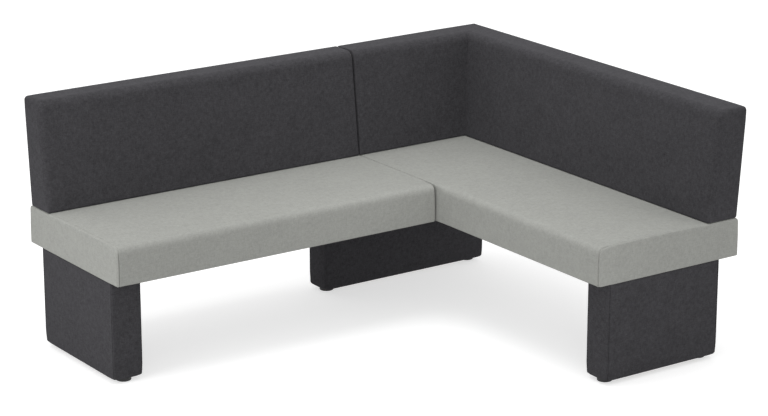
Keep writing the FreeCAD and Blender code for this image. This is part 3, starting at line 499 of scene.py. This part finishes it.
# %% Sizes of the backs
BACK_STEP = 15 * MM
BACK_CUTS = (1.5, 3, 5, 8, 12, 17, 22)
BACK_TOP_CUTS = (1.5, 3, 5, 8, 11, 14, 18, 23, 28)
BACK_ROLL = 28 * MM
BACK_END_ROUND = 22 * MM
REAR_EDGE_ROUND = 8 * MM
REAR_CORNER_ROUND = 15 * MM
SPLIT_ROUND = 6 * MM
BACK_LOW_ROUND = 6 * MM
BACK_PROUD = 2.5 * MM
BACK_RAISED = 3.3 * MM
BACK_RISE = 3.5 * MM
BACK_MOST = 4.5 * MM
BACK_SET_IN = 12 * MM
BACK_OVERHANG = 16 * MM
BACK_HEAD_FRONT = 91 * MM
MITRE_SPARE = 40 * MM
FLAT = 0.01 * MM
back_tall = top_z - back_z

# %% How far a back's softness reaches, and where its cover is held
FRONT_SOFT = 50 * MM
REAR_TIGHT = 30 * MM
TOP_SOFT = 100 * MM
FOOT_TIGHT = 70 * MM
CORNER_SOFT = 60 * MM
FOOT_HELD = (2 * MM, 25 * MM)
REAR_HELD = (-60 * MM, -15 * MM)
MITRE_HELD = (150 * MM, 230 * MM)
MITRE_SMOOTH = FULL_ROTATION / 9


def back_held(points, start, end, start_round, end_round):
    """Where a back's cover is fixed: at its foot, on its rear, and next to the mitre."""
    held = np.maximum(
        1 - smooth_step(back_z + FOOT_HELD[0], back_z + FOOT_HELD[1], points[:, 2]),
        smooth_step(*REAR_HELD, points[:, 1]),
    )
    near, far = MITRE_HELD
    if start_round == FLAT:
        held = np.maximum(held, 1 - smooth_step(start + near, start + far, points[:, 0]))
    if end_round == FLAT:
        held = np.maximum(held, smooth_step(end - far, end - near, points[:, 0]))
    return held


def back_rounds(points, low, high, start_round, end_round):
    """Top and free ends roll over softly at the front; the foot and the rear are tighter."""
    start, end = low[0], high[0]
    at_front = 1 - smooth_step(low[1] + FRONT_SOFT, high[1] - REAR_TIGHT, points[:, 1])
    near_top = smooth_step(high[2] - TOP_SOFT, high[2] - BACK_ROLL, points[:, 2])
    above_foot = smooth_step(low[2], low[2] + FOOT_TIGHT, points[:, 2])
    near, far = np.full_like(points, REAR_EDGE_ROUND), np.full_like(points, REAR_EDGE_ROUND)
    for rounds, limit in ((near, start_round), (far, end_round)):
        most = min(limit, REAR_EDGE_ROUND)
        rounds[:, 0] = most + (limit - most) * at_front * above_foot
    near[:, 1] += (BACK_END_ROUND - REAR_EDGE_ROUND) * above_foot
    near[:, 1] += (BACK_ROLL - BACK_END_ROUND) * near_top
    far[:, 2] += (BACK_ROLL - REAR_EDGE_ROUND) * at_front
    near_head = smooth_step(high[2] - CORNER_SOFT, high[2] - REAR_CORNER_ROUND, points[:, 2])
    from_start, from_end = points[:, 0] - start, end - points[:, 0]
    for rounds, limit, away in ((near, start_round, from_start), (far, end_round, from_end)):
        if limit == BACK_END_ROUND:
            near_end = 1 - smooth_step(REAR_CORNER_ROUND, CORNER_SOFT, away)
            rounds[:, 0] = np.maximum(rounds[:, 0], REAR_CORNER_ROUND * near_head)
            far[:, 2] = np.maximum(far[:, 2], REAR_CORNER_ROUND * near_end)
    near[:, 2] = BACK_LOW_ROUND
    return near, far


def make_back(name, start, end, start_round, end_round, behind=0, grows_over=0):
    """A back along X, its rear at Y 0 or behind it, all along or growing from its start."""
    foot_thick = BACK_FOOT_FRONT - BACK_SET_IN + behind
    head_thick = BACK_HEAD_FRONT + BACK_OVERHANG + behind
    low = (start, -foot_thick, back_z)
    high = (end, 0, top_z + BACK_RAISED)
    piece = block(name, low, high)
    cuts = (
        places_between(start, end, BACK_CUTS, BACK_CUTS, BACK_STEP),
        places_between(low[1], high[1], BACK_TOP_CUTS, EDGE_CUTS, BACK_STEP),
        places_between(low[2], high[2], EDGE_CUTS, BACK_TOP_CUTS, BACK_STEP),
    )
    cut_across(piece, cuts)
    points = points_of(piece)
    round_off(piece, low, high, *back_rounds(points, low, high, start_round, end_round))
    held = back_held(points_of(piece), start, end, start_round, end_round)
    plump(piece, held, BACK_RISE, BACK_MOST)

    points = points_of(piece)
    share = (points[:, 2] - back_z) / back_tall
    rear = behind - BACK_SET_IN + (BACK_SET_IN + BACK_OVERHANG) * share
    thick = 1 + (head_thick / foot_thick - 1) * share
    depth = 1 + points[:, 1] / foot_thick
    points[:, 1] = rear + points[:, 1] * thick
    if grows_over:
        points[:, 1] -= behind * depth * (1 - smooth_step(start, start + grows_over, points[:, 0]))
    move_points(piece, points)
    return piece


def cut_mitre(piece, keep_left):
    """Cut a back on the plane through the corner, at half a right angle, and close it."""
    alone(piece)
    bpy.ops.object.mode_set(mode="EDIT")
    bpy.ops.mesh.select_all(action="SELECT")
    bpy.ops.mesh.bisect(
        plane_co=(right_x, rear_y, 0),
        plane_no=(1, -1, 0),
        use_fill=True,
        clear_outer=keep_left,
        clear_inner=not keep_left,
    )
    bpy.ops.object.mode_set(mode="OBJECT")
    bpy.ops.object.shade_smooth_by_angle(angle=MITRE_SMOOTH)


# %% The three backs
RIGHT_BEHIND = 8 * MM
CORNER_GROWS = 450 * MM
SPLIT_GAP = 2.2 * MM
SPLIT_LEFT = 6 * MM
split_x = joint_x - SPLIT_LEFT
long_back = make_back(
    "long_back_fabric",
    left_x - BACK_PROUD,
    split_x - SPLIT_GAP / 2,
    BACK_END_ROUND,
    SPLIT_ROUND,
)
corner_back = make_back(
    "corner_back_fabric",
    split_x + SPLIT_GAP / 2,
    right_x + MITRE_SPARE,
    SPLIT_ROUND,
    FLAT,
    RIGHT_BEHIND,
    CORNER_GROWS,
)
right_back = make_back(
    "right_back_fabric",
    -MITRE_SPARE,
    rear_y - front_y + BACK_PROUD,
    FLAT,
    BACK_END_ROUND,
    RIGHT_BEHIND,
)
for piece in (long_back, corner_back):
    move_points(piece, points_of(piece) + [0, rear_y, 0])

points = points_of(right_back)
turned = [right_x + points[:, 1], rear_y - points[:, 0], points[:, 2]]
move_points(right_back, np.column_stack(turned))
for piece in (long_back, corner_back, right_back):
    refined(piece)
cut_mitre(corner_back, True)
cut_mitre(right_back, False)
print("backs", [len(piece.data.polygons) for piece in (long_back, corner_back, right_back)])

# %% [markdown]
# ## The slab legs
# A leg is a plywood box in the same charcoal fabric, over foam of only a few millimetres. Its
# faces are nearly flat, its upright edges are tight, and only the corners of its foot are a little
# rounder. The fabric of the short sides reaches round the corners and is sewn on there. Below, it
# is turned under the box.

# %% Three legs from their boxes in the frame
LEG_STEP = 17 * MM
LEG_ROUND = 4 * MM
LEG_END_ROUND = 9 * MM
LEG_LOW_ROUND = 4.5 * MM
LEG_LOW_CORNER = 8 * MM
LEG_TOP_ROUND = 5 * MM
LEG_PROUD = 2.5 * MM
LEG_SEAM_IN = 3 * MM
LEG_SEAM_DEEP = 2.2 * MM
LEG_SWELL = 1.5 * MM
LEG_TURNED = 24 * MM
LEG_CUTS = (1, 2, 3, 4.5, 6.5, 9, 23.5, 24.5)
LEG_LOW_CUTS = (2, 4, 6, 8)
LEG_TOP_CUTS = (1.25, 2.5, 3.75, 5)
LEFT_START_PROUD = 3.5 * MM
CORNER_START_PROUD = -1.5 * MM
LEG_CORNER_FADE = 30 * MM
LEG_FOOT_FADE = 40 * MM
SWELL_ACROSS, SWELL_UP, SWELL_OUT = 4, 0.5, 3


def make_leg(name, node, start_proud=LEG_PROUD):
    """A leg's fabric, a little proud of the frame's leg; start_proud is for its low X side."""
    low, high = (list(corner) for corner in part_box(node))
    longer = 0 if high[0] - low[0] > high[1] - low[1] else 1
    seams = [low[longer] + LEG_SEAM_IN, high[longer] - LEG_SEAM_IN]
    low[0] -= start_proud
    low[1] -= LEG_PROUD
    high[0] += LEG_PROUD
    high[1] += LEG_PROUD
    piece = block(name, low, high)
    cuts = [
        places_between(low[direction], high[direction], LEG_CUTS, LEG_CUTS, LEG_STEP)
        for direction in (0, 1)
    ]
    cuts[longer] = places_between(low[longer], high[longer], LEG_CUTS, LEG_CUTS, LEG_STEP, seams)
    cuts.append(places_between(low[2], high[2], LEG_LOW_CUTS, LEG_TOP_CUTS, LEG_STEP))
    cut_across(piece, cuts)
    points = points_of(piece)
    from_side = np.minimum(points - low, np.array(high) - points)
    near_corner = 1 - smooth_step(LEG_END_ROUND, LEG_CORNER_FADE, from_side[:, :2].max(axis=1))
    near_foot = 1 - smooth_step(LEG_LOW_CORNER, LEG_FOOT_FADE, points[:, 2] - low[2])
    near_foot = near_corner * near_foot
    upright = LEG_ROUND + (LEG_END_ROUND - LEG_ROUND) * near_foot
    foot_round = LEG_LOW_ROUND + (LEG_LOW_CORNER - LEG_LOW_ROUND) * near_corner
    head_round = np.full_like(upright, LEG_TOP_ROUND)
    for_low = np.column_stack([upright, upright, foot_round])
    for_high = np.column_stack([upright, upright, head_round])
    round_off(piece, low, high, for_low, for_high)
    recess_underside(piece, low, high, LEG_TURNED, SHEET_RECESS)
    points = points_of(piece)
    up = np.clip((points[:, 2] - low[2]) / (high[2] - low[2]), 0, 1)
    for direction in (0, 1):
        other = 1 - direction
        half = (high[other] - low[other]) / 2
        across = np.clip((points[:, other] - low[other] - half) / half, -1, 1)
        bulge = LEG_SWELL * (1 - across**SWELL_ACROSS) * np.sin(math.pi * up) ** SWELL_UP
        middle = (low[direction] + high[direction]) / 2
        out = np.clip((points[:, direction] - middle) / (high[direction] - middle), -1, 1)
        points[:, direction] += out**SWELL_OUT * bulge
    move_points(piece, points)
    refined(piece)
    for seam in seams:
        sew(piece, longer, seam, LEG_SEAM_DEEP)
    return piece


left_leg = make_leg("left_leg_fabric", "left_leg_cover", LEFT_START_PROUD)
corner_leg = make_leg("corner_leg_fabric", "corner_leg_cover", CORNER_START_PROUD)
right_leg = make_leg("right_leg_fabric", "right_leg_cover")
print("legs", [len(piece.data.polygons) for piece in (left_leg, corner_leg, right_leg)])

# %% [markdown]
# ## Staples under the seats
# From below, a bench shows how it was made: a black sheet keeps the dust out, and staples every
# hand's breadth hold it over the turned-in fabric. One staple is modelled and copied along the
# sheet's edge.

# %% One staple, then a row of copies along each sheet
STAPLE = (11 * MM, 1.3 * MM, 0.8 * MM)
STAPLE_BEVEL = 0.3 * MM
STAPLE_PITCH = 62 * MM
STAPLE_IN = 9 * MM
leg_boxes = [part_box(name) for name in ("left_leg_cover", "corner_leg_cover", "right_leg_cover")]


def one_staple():
    piece = block("staple", [-size / 2 for size in STAPLE], [size / 2 for size in STAPLE])
    modifier = piece.modifiers.new("worn", "BEVEL")
    modifier.width = STAPLE_BEVEL
    modifier.segments = 1
    alone(piece)
    bpy.ops.object.modifier_apply(modifier=modifier.name)
    bpy.ops.object.shade_smooth()
    return piece


def staple_places(low, high):
    """Where staples go along a sheet's edge, each with its direction, but none under a leg."""
    places = []
    for direction in (0, 1):
        start, end = low[direction] + STAPLE_IN, high[direction] - STAPLE_IN
        count = int((end - start) / STAPLE_PITCH)
        for side in (low[1 - direction] + STAPLE_IN, high[1 - direction] - STAPLE_IN):
            for number in range(count):
                spot = [0, 0]
                spot[direction] = start + (end - start) * (number + 0.5) / count
                spot[1 - direction] = side
                hidden = any(a.x < spot[0] < b.x and a.y < spot[1] < b.y for a, b in leg_boxes)
                if not hidden:
                    places.append((spot, direction))
    return places


def staple_row(name, node):
    low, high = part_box(node)
    staple = one_staple()
    shape = points_of(staple)
    copies = []
    for spot, direction in staple_places(low, high):
        copy = staple.copy()
        copy.data = staple.data.copy()
        bpy.context.collection.objects.link(copy)
        turned = shape if direction == 0 else shape[:, [1, 0, 2]] * [-1, 1, 1]
        move_points(copy, turned + [spot[0], spot[1], low.z])
        copies.append(copy)
    bpy.data.objects.remove(staple)
    alone(copies[0])
    for copy in copies:
        copy.select_set(True)
    bpy.ops.object.join()
    row = bpy.context.object
    row.name = row.data.name = name
    print(name, len(copies), "staples")
    return row


long_staples = staple_row("long_seat_staples", "long_seat_dust_sheet")
corner_staples = staple_row("corner_seat_staples", "corner_seat_dust_sheet")

# %% [markdown]
# ## Threads of the feet
# A levelling foot turns in and out on a metric thread. Fully in, the thread hides in the leg, but
# a foot that is screwed out shows 15 mm of it. The Screw modifier does what a lathe does: it drags
# one tooth of the thread around the axis and up by one pitch for each turn.

# %% One thread, copied to the six feet
PITCH = 1.5 * MM
TOOTH_DEEP = 0.85 * MM
TOOTH = ((0, 0.15), (1, 0.35), (0, 0.15), (-1, 0.35))
TURN_STEPS = 24
SPARE_TURNS = 3
MERGE_NEAR = 0.01 * MM
THREAD_SMOOTH = FULL_ROTATION / 15
stem_low, stem_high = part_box("left_front_foot_stem")
STEM_RADIUS = (stem_high.x - stem_low.x) / 2
FEET = ("left_front", "left_rear", "corner_left", "corner_right", "right_left", "right_right")


def wound_tooth(radius, turns):
    """One tooth of the thread, drawn as a line from root to root and wound up the Z axis."""
    bpy.ops.object.select_all(action="DESELECT")
    bpy.ops.mesh.primitive_plane_add(size=PITCH)
    piece = bpy.context.object
    bpy.ops.object.mode_set(mode="EDIT")
    bpy.ops.mesh.select_mode(type="VERT")
    bpy.ops.mesh.select_all(action="SELECT")
    bpy.ops.mesh.merge(type="CENTER")
    bpy.ops.transform.translate(value=(radius - TOOTH_DEEP, 0, 0))
    for out, up in TOOTH:
        step = (out * TOOTH_DEEP, 0, up * PITCH)
        bpy.ops.mesh.extrude_region_move(TRANSFORM_OT_translate={"value": step})
    bpy.ops.object.mode_set(mode="OBJECT")
    modifier = piece.modifiers.new("wound", "SCREW")
    modifier.screw_offset = PITCH
    modifier.iterations = turns
    modifier.steps = modifier.render_steps = TURN_STEPS
    bpy.ops.object.modifier_apply(modifier=modifier.name)
    return piece


def make_thread(high):
    """A threaded rod that stands on the origin, closed at both ends."""
    piece = wound_tooth(STEM_RADIUS, int(high / PITCH) + SPARE_TURNS)
    bpy.ops.object.mode_set(mode="EDIT")
    bpy.ops.mesh.select_all(action="SELECT")
    bpy.ops.mesh.remove_doubles(threshold=MERGE_NEAR)
    for place, below in ((PITCH, True), (PITCH + high, False)):
        bpy.ops.mesh.select_all(action="SELECT")
        bpy.ops.mesh.bisect(
            plane_co=(0, 0, place),
            plane_no=(0, 0, 1),
            use_fill=True,
            clear_inner=below,
            clear_outer=not below,
        )
    bpy.ops.mesh.select_all(action="SELECT")
    bpy.ops.mesh.normals_make_consistent(inside=False)
    bpy.ops.object.mode_set(mode="OBJECT")
    bpy.ops.object.shade_smooth_by_angle(angle=THREAD_SMOOTH)
    move_points(piece, points_of(piece) - [0, 0, PITCH])
    return piece


thread = make_thread(stem_high.z - stem_low.z)
rod = points_of(thread)
threads = {}
for foot in FEET:
    low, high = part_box(f"{foot}_foot_stem")
    copy = thread.copy()
    copy.data = thread.data.copy()
    copy.name = copy.data.name = f"{foot}_foot_thread"
    bpy.context.collection.objects.link(copy)
    move_points(copy, rod + [(low.x + high.x) / 2, (low.y + high.y) / 2, low.z])
    threads[foot] = copy
bpy.data.objects.remove(thread)
print(len(threads), "threads of", len(rod), "points")

# %% [markdown]
# ## Fabric that knows its own weave
# Threads run along the cloth, so the pattern needs the cloth's own coordinates. A box projection
# gives each side of a cushion flat coordinates in metres, which is how real panels are cut.


# %% Flat coordinates in metres for each panel
def lay_flat(piece):
    alone(piece)
    if not piece.data.uv_layers:
        piece.data.uv_layers.new(name="panels")
    bpy.ops.object.mode_set(mode="EDIT")
    bpy.ops.mesh.select_all(action="SELECT")
    bpy.ops.uv.cube_project(
        cube_size=1,
        correct_aspect=False,
        clip_to_bounds=False,
        scale_to_bounds=False,
    )
    bpy.ops.object.mode_set(mode="OBJECT")


SEATS = (long_seat, corner_seat)
BACKS = (long_back, corner_back, right_back)
LEGS = (left_leg, corner_leg, right_leg)
for piece in (*SEATS, *BACKS, *LEGS):
    lay_flat(piece)


# %% [markdown]
# ## Velour
# Velour is a short dense pile. From a step away it is a soft mottle, because the pile lies a
# little differently from place to place. Close by it shows fine crossing threads. At a grazing
# angle the tips of the pile catch the light, which is what the sheen of the shader does.

# %% A small kit for material nodes
def new_material(name):
    material = bpy.data.materials.new(name)
    material.use_nodes = True
    shader = material.node_tree.nodes["Principled BSDF"]
    return material, shader


def add_node(material, kind, **values):
    """Add a node and set its inputs by name."""
    node = material.node_tree.nodes.new(kind)
    for name, value in values.items():
        if hasattr(node, name):
            setattr(node, name, value)
        else:
            node.inputs[name.replace("_", " ").title()].default_value = value
    return node


def join(material, start, end):
    material.node_tree.links.new(start, end)


def noise(material, place, scale, detail, roughness, stretch):
    """Noise over a place, stretched along its axes, as a value about one half."""
    mapping = add_node(material, "ShaderNodeMapping")
    mapping.inputs["Scale"].default_value = stretch
    join(material, place, mapping.inputs["Vector"])
    texture = add_node(
        material, "ShaderNodeTexNoise", scale=scale, detail=detail, roughness=roughness
    )
    join(material, mapping.outputs["Vector"], texture.inputs["Vector"])
    return texture.outputs["Fac"]


def weighed(material, parts):
    """The sum of some values, each about one half, times its weight."""
    total = None
    for value, weight in parts:
        scaled = add_node(material, "ShaderNodeMath", operation="MULTIPLY_ADD")
        join(material, value, scaled.inputs[0])
        scaled.inputs[1].default_value = weight
        scaled.inputs[2].default_value = -weight / 2
        if total is not None:
            step = add_node(material, "ShaderNodeMath", operation="ADD")
            join(material, total, step.inputs[0])
            join(material, scaled.outputs[0], step.inputs[1])
            total = step.outputs[0]
        else:
            total = scaled.outputs[0]
    return total


def mottle_colour(material, shader, colour, value, strength, base):
    """The base colour is the colour, times the value at this strength added to the base."""
    shade = add_node(material, "ShaderNodeMath", operation="MULTIPLY_ADD")
    join(material, value, shade.inputs[0])
    shade.inputs[1].default_value = strength
    shade.inputs[2].default_value = base
    tint = add_node(material, "ShaderNodeVectorMath", operation="SCALE")
    tint.inputs[0].default_value = colour
    join(material, shade.outputs[0], tint.inputs["Scale"])
    join(material, tint.outputs["Vector"], shader.inputs["Base Color"])


def raise_grain(material, shader, height, strength, distance):
    """Let the height show as a fine relief that goes up to the distance."""
    bump = add_node(material, "ShaderNodeBump", strength=strength, distance=distance)
    join(material, height, bump.inputs["Height"])
    join(material, bump.outputs["Normal"], shader.inputs["Normal"])


# %% What the velour's mottle is made of
EVEN = (1, 1, 1)
# For each: coordinates, scale, detail, roughness, stretch, weight in colour, weight in relief.
VELOUR_NOISE = {
    "clouds": ("Object", 9, 3, 0.5, EVEN, 0.25, 0),
    "blotches": ("Object", 35, 2, 0.6, EVEN, 0.35, 0),
    "pile": ("Object", 80, 3, 0.6, EVEN, 0.9, 0.3),
    "grain": ("Object", 260, 2, 0.7, EVEN, 1.0, 0.4),
    "slubs along": ("UV", 260, 1, 0.5, (1, 0.2, 1), 0.5, 0),
    "slubs across": ("UV", 260, 1, 0.5, (0.2, 1, 1), 0.5, 0),
    "warp": ("UV", 900, 1, 0.5, (1, 0.22, 1), 0.35, 0.6),
    "weft": ("UV", 900, 1, 0.5, (0.22, 1, 1), 0.35, 0.6),
}
VELOUR_RELIEF = 0.35
VELOUR_RELIEF_HIGH = 0.4 * MM
VELOUR_ROUGH = 0.95
VELOUR_SHINE = 0.15
SHEEN_ROUGH = 0.45


# %% The velour's colour, pile and threads
def velour(name, colour, mottle, sheen, sheen_colour):
    material, shader = new_material(name)
    where = add_node(material, "ShaderNodeTexCoord")
    in_colour, in_relief = [], []
    for place, scale, detail, rough, stretch, for_colour, for_relief in VELOUR_NOISE.values():
        value = noise(material, where.outputs[place], scale, detail, rough, stretch)
        in_colour.append((value, for_colour))
        if for_relief:
            in_relief.append((value, for_relief))
    mottle_colour(material, shader, colour, weighed(material, in_colour), mottle, 1)
    height = weighed(material, in_relief)
    raise_grain(material, shader, height, VELOUR_RELIEF, VELOUR_RELIEF_HIGH)
    shader.inputs["Roughness"].default_value = VELOUR_ROUGH
    shader.inputs["Specular IOR Level"].default_value = VELOUR_SHINE
    shader.inputs["Sheen Weight"].default_value = sheen
    shader.inputs["Sheen Roughness"].default_value = SHEEN_ROUGH
    shader.inputs["Sheen Tint"].default_value = (*sheen_colour, 1)
    return material


seat_velour = velour(
    "seat_velour",
    colour=(0.318, 0.322, 0.302),
    mottle=0.3,
    sheen=0.03,
    sheen_colour=(1, 1, 1),
)
charcoal_velour = velour(
    "charcoal_velour",
    colour=(0.0475, 0.0462, 0.0502),
    mottle=0.8,
    sheen=0.04,
    sheen_colour=(0.9, 0.9, 1),
)


# %% Dress the pieces, hang them on the bench and hide the covers they replace
def dress(piece, material, nodes):
    piece.data.materials.clear()
    piece.data.materials.append(material)
    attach(piece, "bench")
    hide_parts(*nodes)


dress(long_seat, seat_velour, ["long_seat_cover"])
dress(corner_seat, seat_velour, ["corner_seat_cover"])
dress(long_back, charcoal_velour, ["long_back_cover"])
dress(corner_back, charcoal_velour, ["corner_back_cover"])
dress(right_back, charcoal_velour, ["right_back_cover"])
dress(left_leg, charcoal_velour, ["left_leg_cover"])
dress(corner_leg, charcoal_velour, ["corner_leg_cover"])
dress(right_leg, charcoal_velour, ["right_leg_cover"])

# %% [markdown]
# ## Finishes of the pieces inside and below
# The frame's own pieces keep their shapes. Each kind gets the finish that its maker would give it.


# %% Moulded plastic, zinc, steel, wood, foam and the black sheet
FINISH_CHANGE = 0.15
FINISH_DETAIL = 4
FINISH_NOISE_ROUGH = 0.6
FINISH_RELIEF = 0.3
FINISH_RELIEF_HIGH = 0.3 * MM


def plain_finish(name, colour, roughness, metallic, scale, stretch):
    material, shader = new_material(name)
    where = add_node(material, "ShaderNodeTexCoord")
    cloud = noise(
        material, where.outputs["Object"], scale, FINISH_DETAIL, FINISH_NOISE_ROUGH, stretch
    )
    mottle_colour(material, shader, colour, cloud, FINISH_CHANGE, 1 - FINISH_CHANGE / 2)
    raise_grain(material, shader, cloud, FINISH_RELIEF, FINISH_RELIEF_HIGH)
    shader.inputs["Roughness"].default_value = roughness
    shader.inputs["Metallic"].default_value = metallic
    return material


# For each slot: name, colour, roughness, metal or not, scale of its mottle, stretch of its mottle.
FINISH_TABLE = {
    "foot_plastic": ("moulded_black", (0.012, 0.012, 0.013), 0.5, 0, 900, EVEN),
    "zinc": ("zinc_plating", (0.62, 0.63, 0.65), 0.35, 1, 300, EVEN),
    "steel": ("mill_steel", (0.42, 0.42, 0.43), 0.45, 1, 120, (1, 1, 0.1)),
    "plywood": ("birch_plywood", (0.55, 0.4, 0.25), 0.7, 0, 30, (0.2, 1, 1)),
    "hardboard": ("hardboard", (0.3, 0.2, 0.12), 0.8, 0, 200, EVEN),
    "timber": ("planed_softwood", (0.6, 0.46, 0.3), 0.65, 0, 40, (0.1, 1, 1)),
    "foam": ("cream_foam", (0.75, 0.68, 0.5), 0.95, 0, 1200, EVEN),
    "dust_cloth": ("nonwoven_black", (0.015, 0.015, 0.015), 0.9, 0, 700, EVEN),
}
FINISHES = {slot: plain_finish(*values) for slot, values in FINISH_TABLE.items()}
for row in frame["record"]["subparts"]:
    finish = FINISHES.get(row["material_slot"])
    if finish:
        node = frame["nodes"][row["node"]]
        node.data.materials.clear()
        node.data.materials.append(finish)

# %% Staples and threads get their zinc
for piece in (long_staples, corner_staples):
    piece.data.materials.append(FINISHES["zinc"])
    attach(piece, "bench")

for foot, piece in threads.items():
    piece.data.materials.append(FINISHES["zinc"])
    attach(piece, f"{foot}_foot")
    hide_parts(f"{foot}_foot_stem")

# %% [markdown]
# ## A pale studio
# The floor is pale and matt and reaches further than the camera sees. The light is soft: an even
# sky, a wide panel overhead, small ones near the left and right ends and a weak one from the
# front. The inner corner would stay dull, so a spot with a soft edge shines into it from the
# front.

# %% Floor and sky
FLOOR_WIDE = 60
FLOOR_GLOW = 0.6
FLOOR_COLOUR = (0.65, 0.65, 0.65, 1)
WHITE = (1, 1, 1, 1)
bpy.ops.object.select_all(action="DESELECT")
bpy.ops.mesh.primitive_plane_add(size=FLOOR_WIDE)
floor = bpy.context.object
floor.name = "studio_floor"

floor_paint, shader = new_material("pale_floor")
shader.inputs["Base Color"].default_value = FLOOR_COLOUR
shader.inputs["Roughness"].default_value = 1
shader.inputs["Specular IOR Level"].default_value = 0
path = add_node(floor_paint, "ShaderNodeLightPath")
seen = add_node(floor_paint, "ShaderNodeMath", operation="MAXIMUM")
join(floor_paint, path.outputs["Is Camera Ray"], seen.inputs[0])
join(floor_paint, path.outputs["Is Glossy Ray"], seen.inputs[1])
glow = add_node(floor_paint, "ShaderNodeMath", operation="MULTIPLY")
join(floor_paint, seen.outputs[0], glow.inputs[0])
glow.inputs[1].default_value = FLOOR_GLOW
shader.inputs["Emission Color"].default_value = WHITE
join(floor_paint, glow.outputs[0], shader.inputs["Emission Strength"])
floor.data.materials.append(floor_paint)

SKY_LEVEL = 1.0
SKY_SEEN = 1
world = bpy.data.worlds.new("studio")
world.use_nodes = True
bpy.context.scene.world = world
tree = world.node_tree
tree.nodes.clear()
rays = tree.nodes.new("ShaderNodeLightPath")
level = tree.nodes.new("ShaderNodeMix")
level.inputs["A"].default_value = SKY_LEVEL
level.inputs["B"].default_value = SKY_SEEN
tree.links.new(rays.outputs["Is Camera Ray"], level.inputs["Factor"])
background = tree.nodes.new("ShaderNodeBackground")
tree.links.new(level.outputs["Result"], background.inputs["Strength"])
output = tree.nodes.new("ShaderNodeOutputWorld")
tree.links.new(background.outputs["Background"], output.inputs["Surface"])


# %% Soft panels of light
def aimed(place, aim):
    """The turn of a lamp that stands at the place and shines at the aim."""
    return (Vector(aim) - Vector(place)).to_track_quat("-Z", "Y").to_euler()


def panel(name, place, aim, wide, watts):
    bpy.ops.object.light_add(type="AREA", location=place)
    lamp = bpy.context.object
    lamp.name = name
    lamp.data.shape = "DISK"
    lamp.data.size = wide
    lamp.data.energy = watts
    lamp.rotation_euler = aimed(place, aim)


panel("left_panel", place=(-2.1, 0.2, 0.7), aim=(-0.9, 0.3, 0.3), wide=1.2, watts=6.5)
panel("top_panel", place=(0, 0.3, 4), aim=(0, 0.1, 0.4), wide=2.5, watts=62)
panel("right_panel", place=(2.2, -3.4, 0.9), aim=(0.7, -0.75, 0.35), wide=1, watts=9)
panel("front_panel", place=(-4.2, -5, 2.4), aim=(-0.2, -0.2, 0.4), wide=2.5, watts=12)

# %% A soft spot for the inner corner
SPOT_ANGLE = FULL_ROTATION / 20
SPOT_WATTS = 200
SPOT_BLEND = 1
SPOT_WIDE = 0.4
SPOT_PLACE, SPOT_AIM = (-2.0, -4.3, 1.0), (0.35, 0.14, 0.42)
bpy.ops.object.light_add(type="SPOT", location=SPOT_PLACE)
spot = bpy.context.object
spot.name = "corner_spot"
spot.data.energy = SPOT_WATTS
spot.data.spot_size = SPOT_ANGLE
spot.data.spot_blend = SPOT_BLEND
spot.data.shadow_soft_size = SPOT_WIDE
spot.rotation_euler = aimed(SPOT_PLACE, SPOT_AIM)
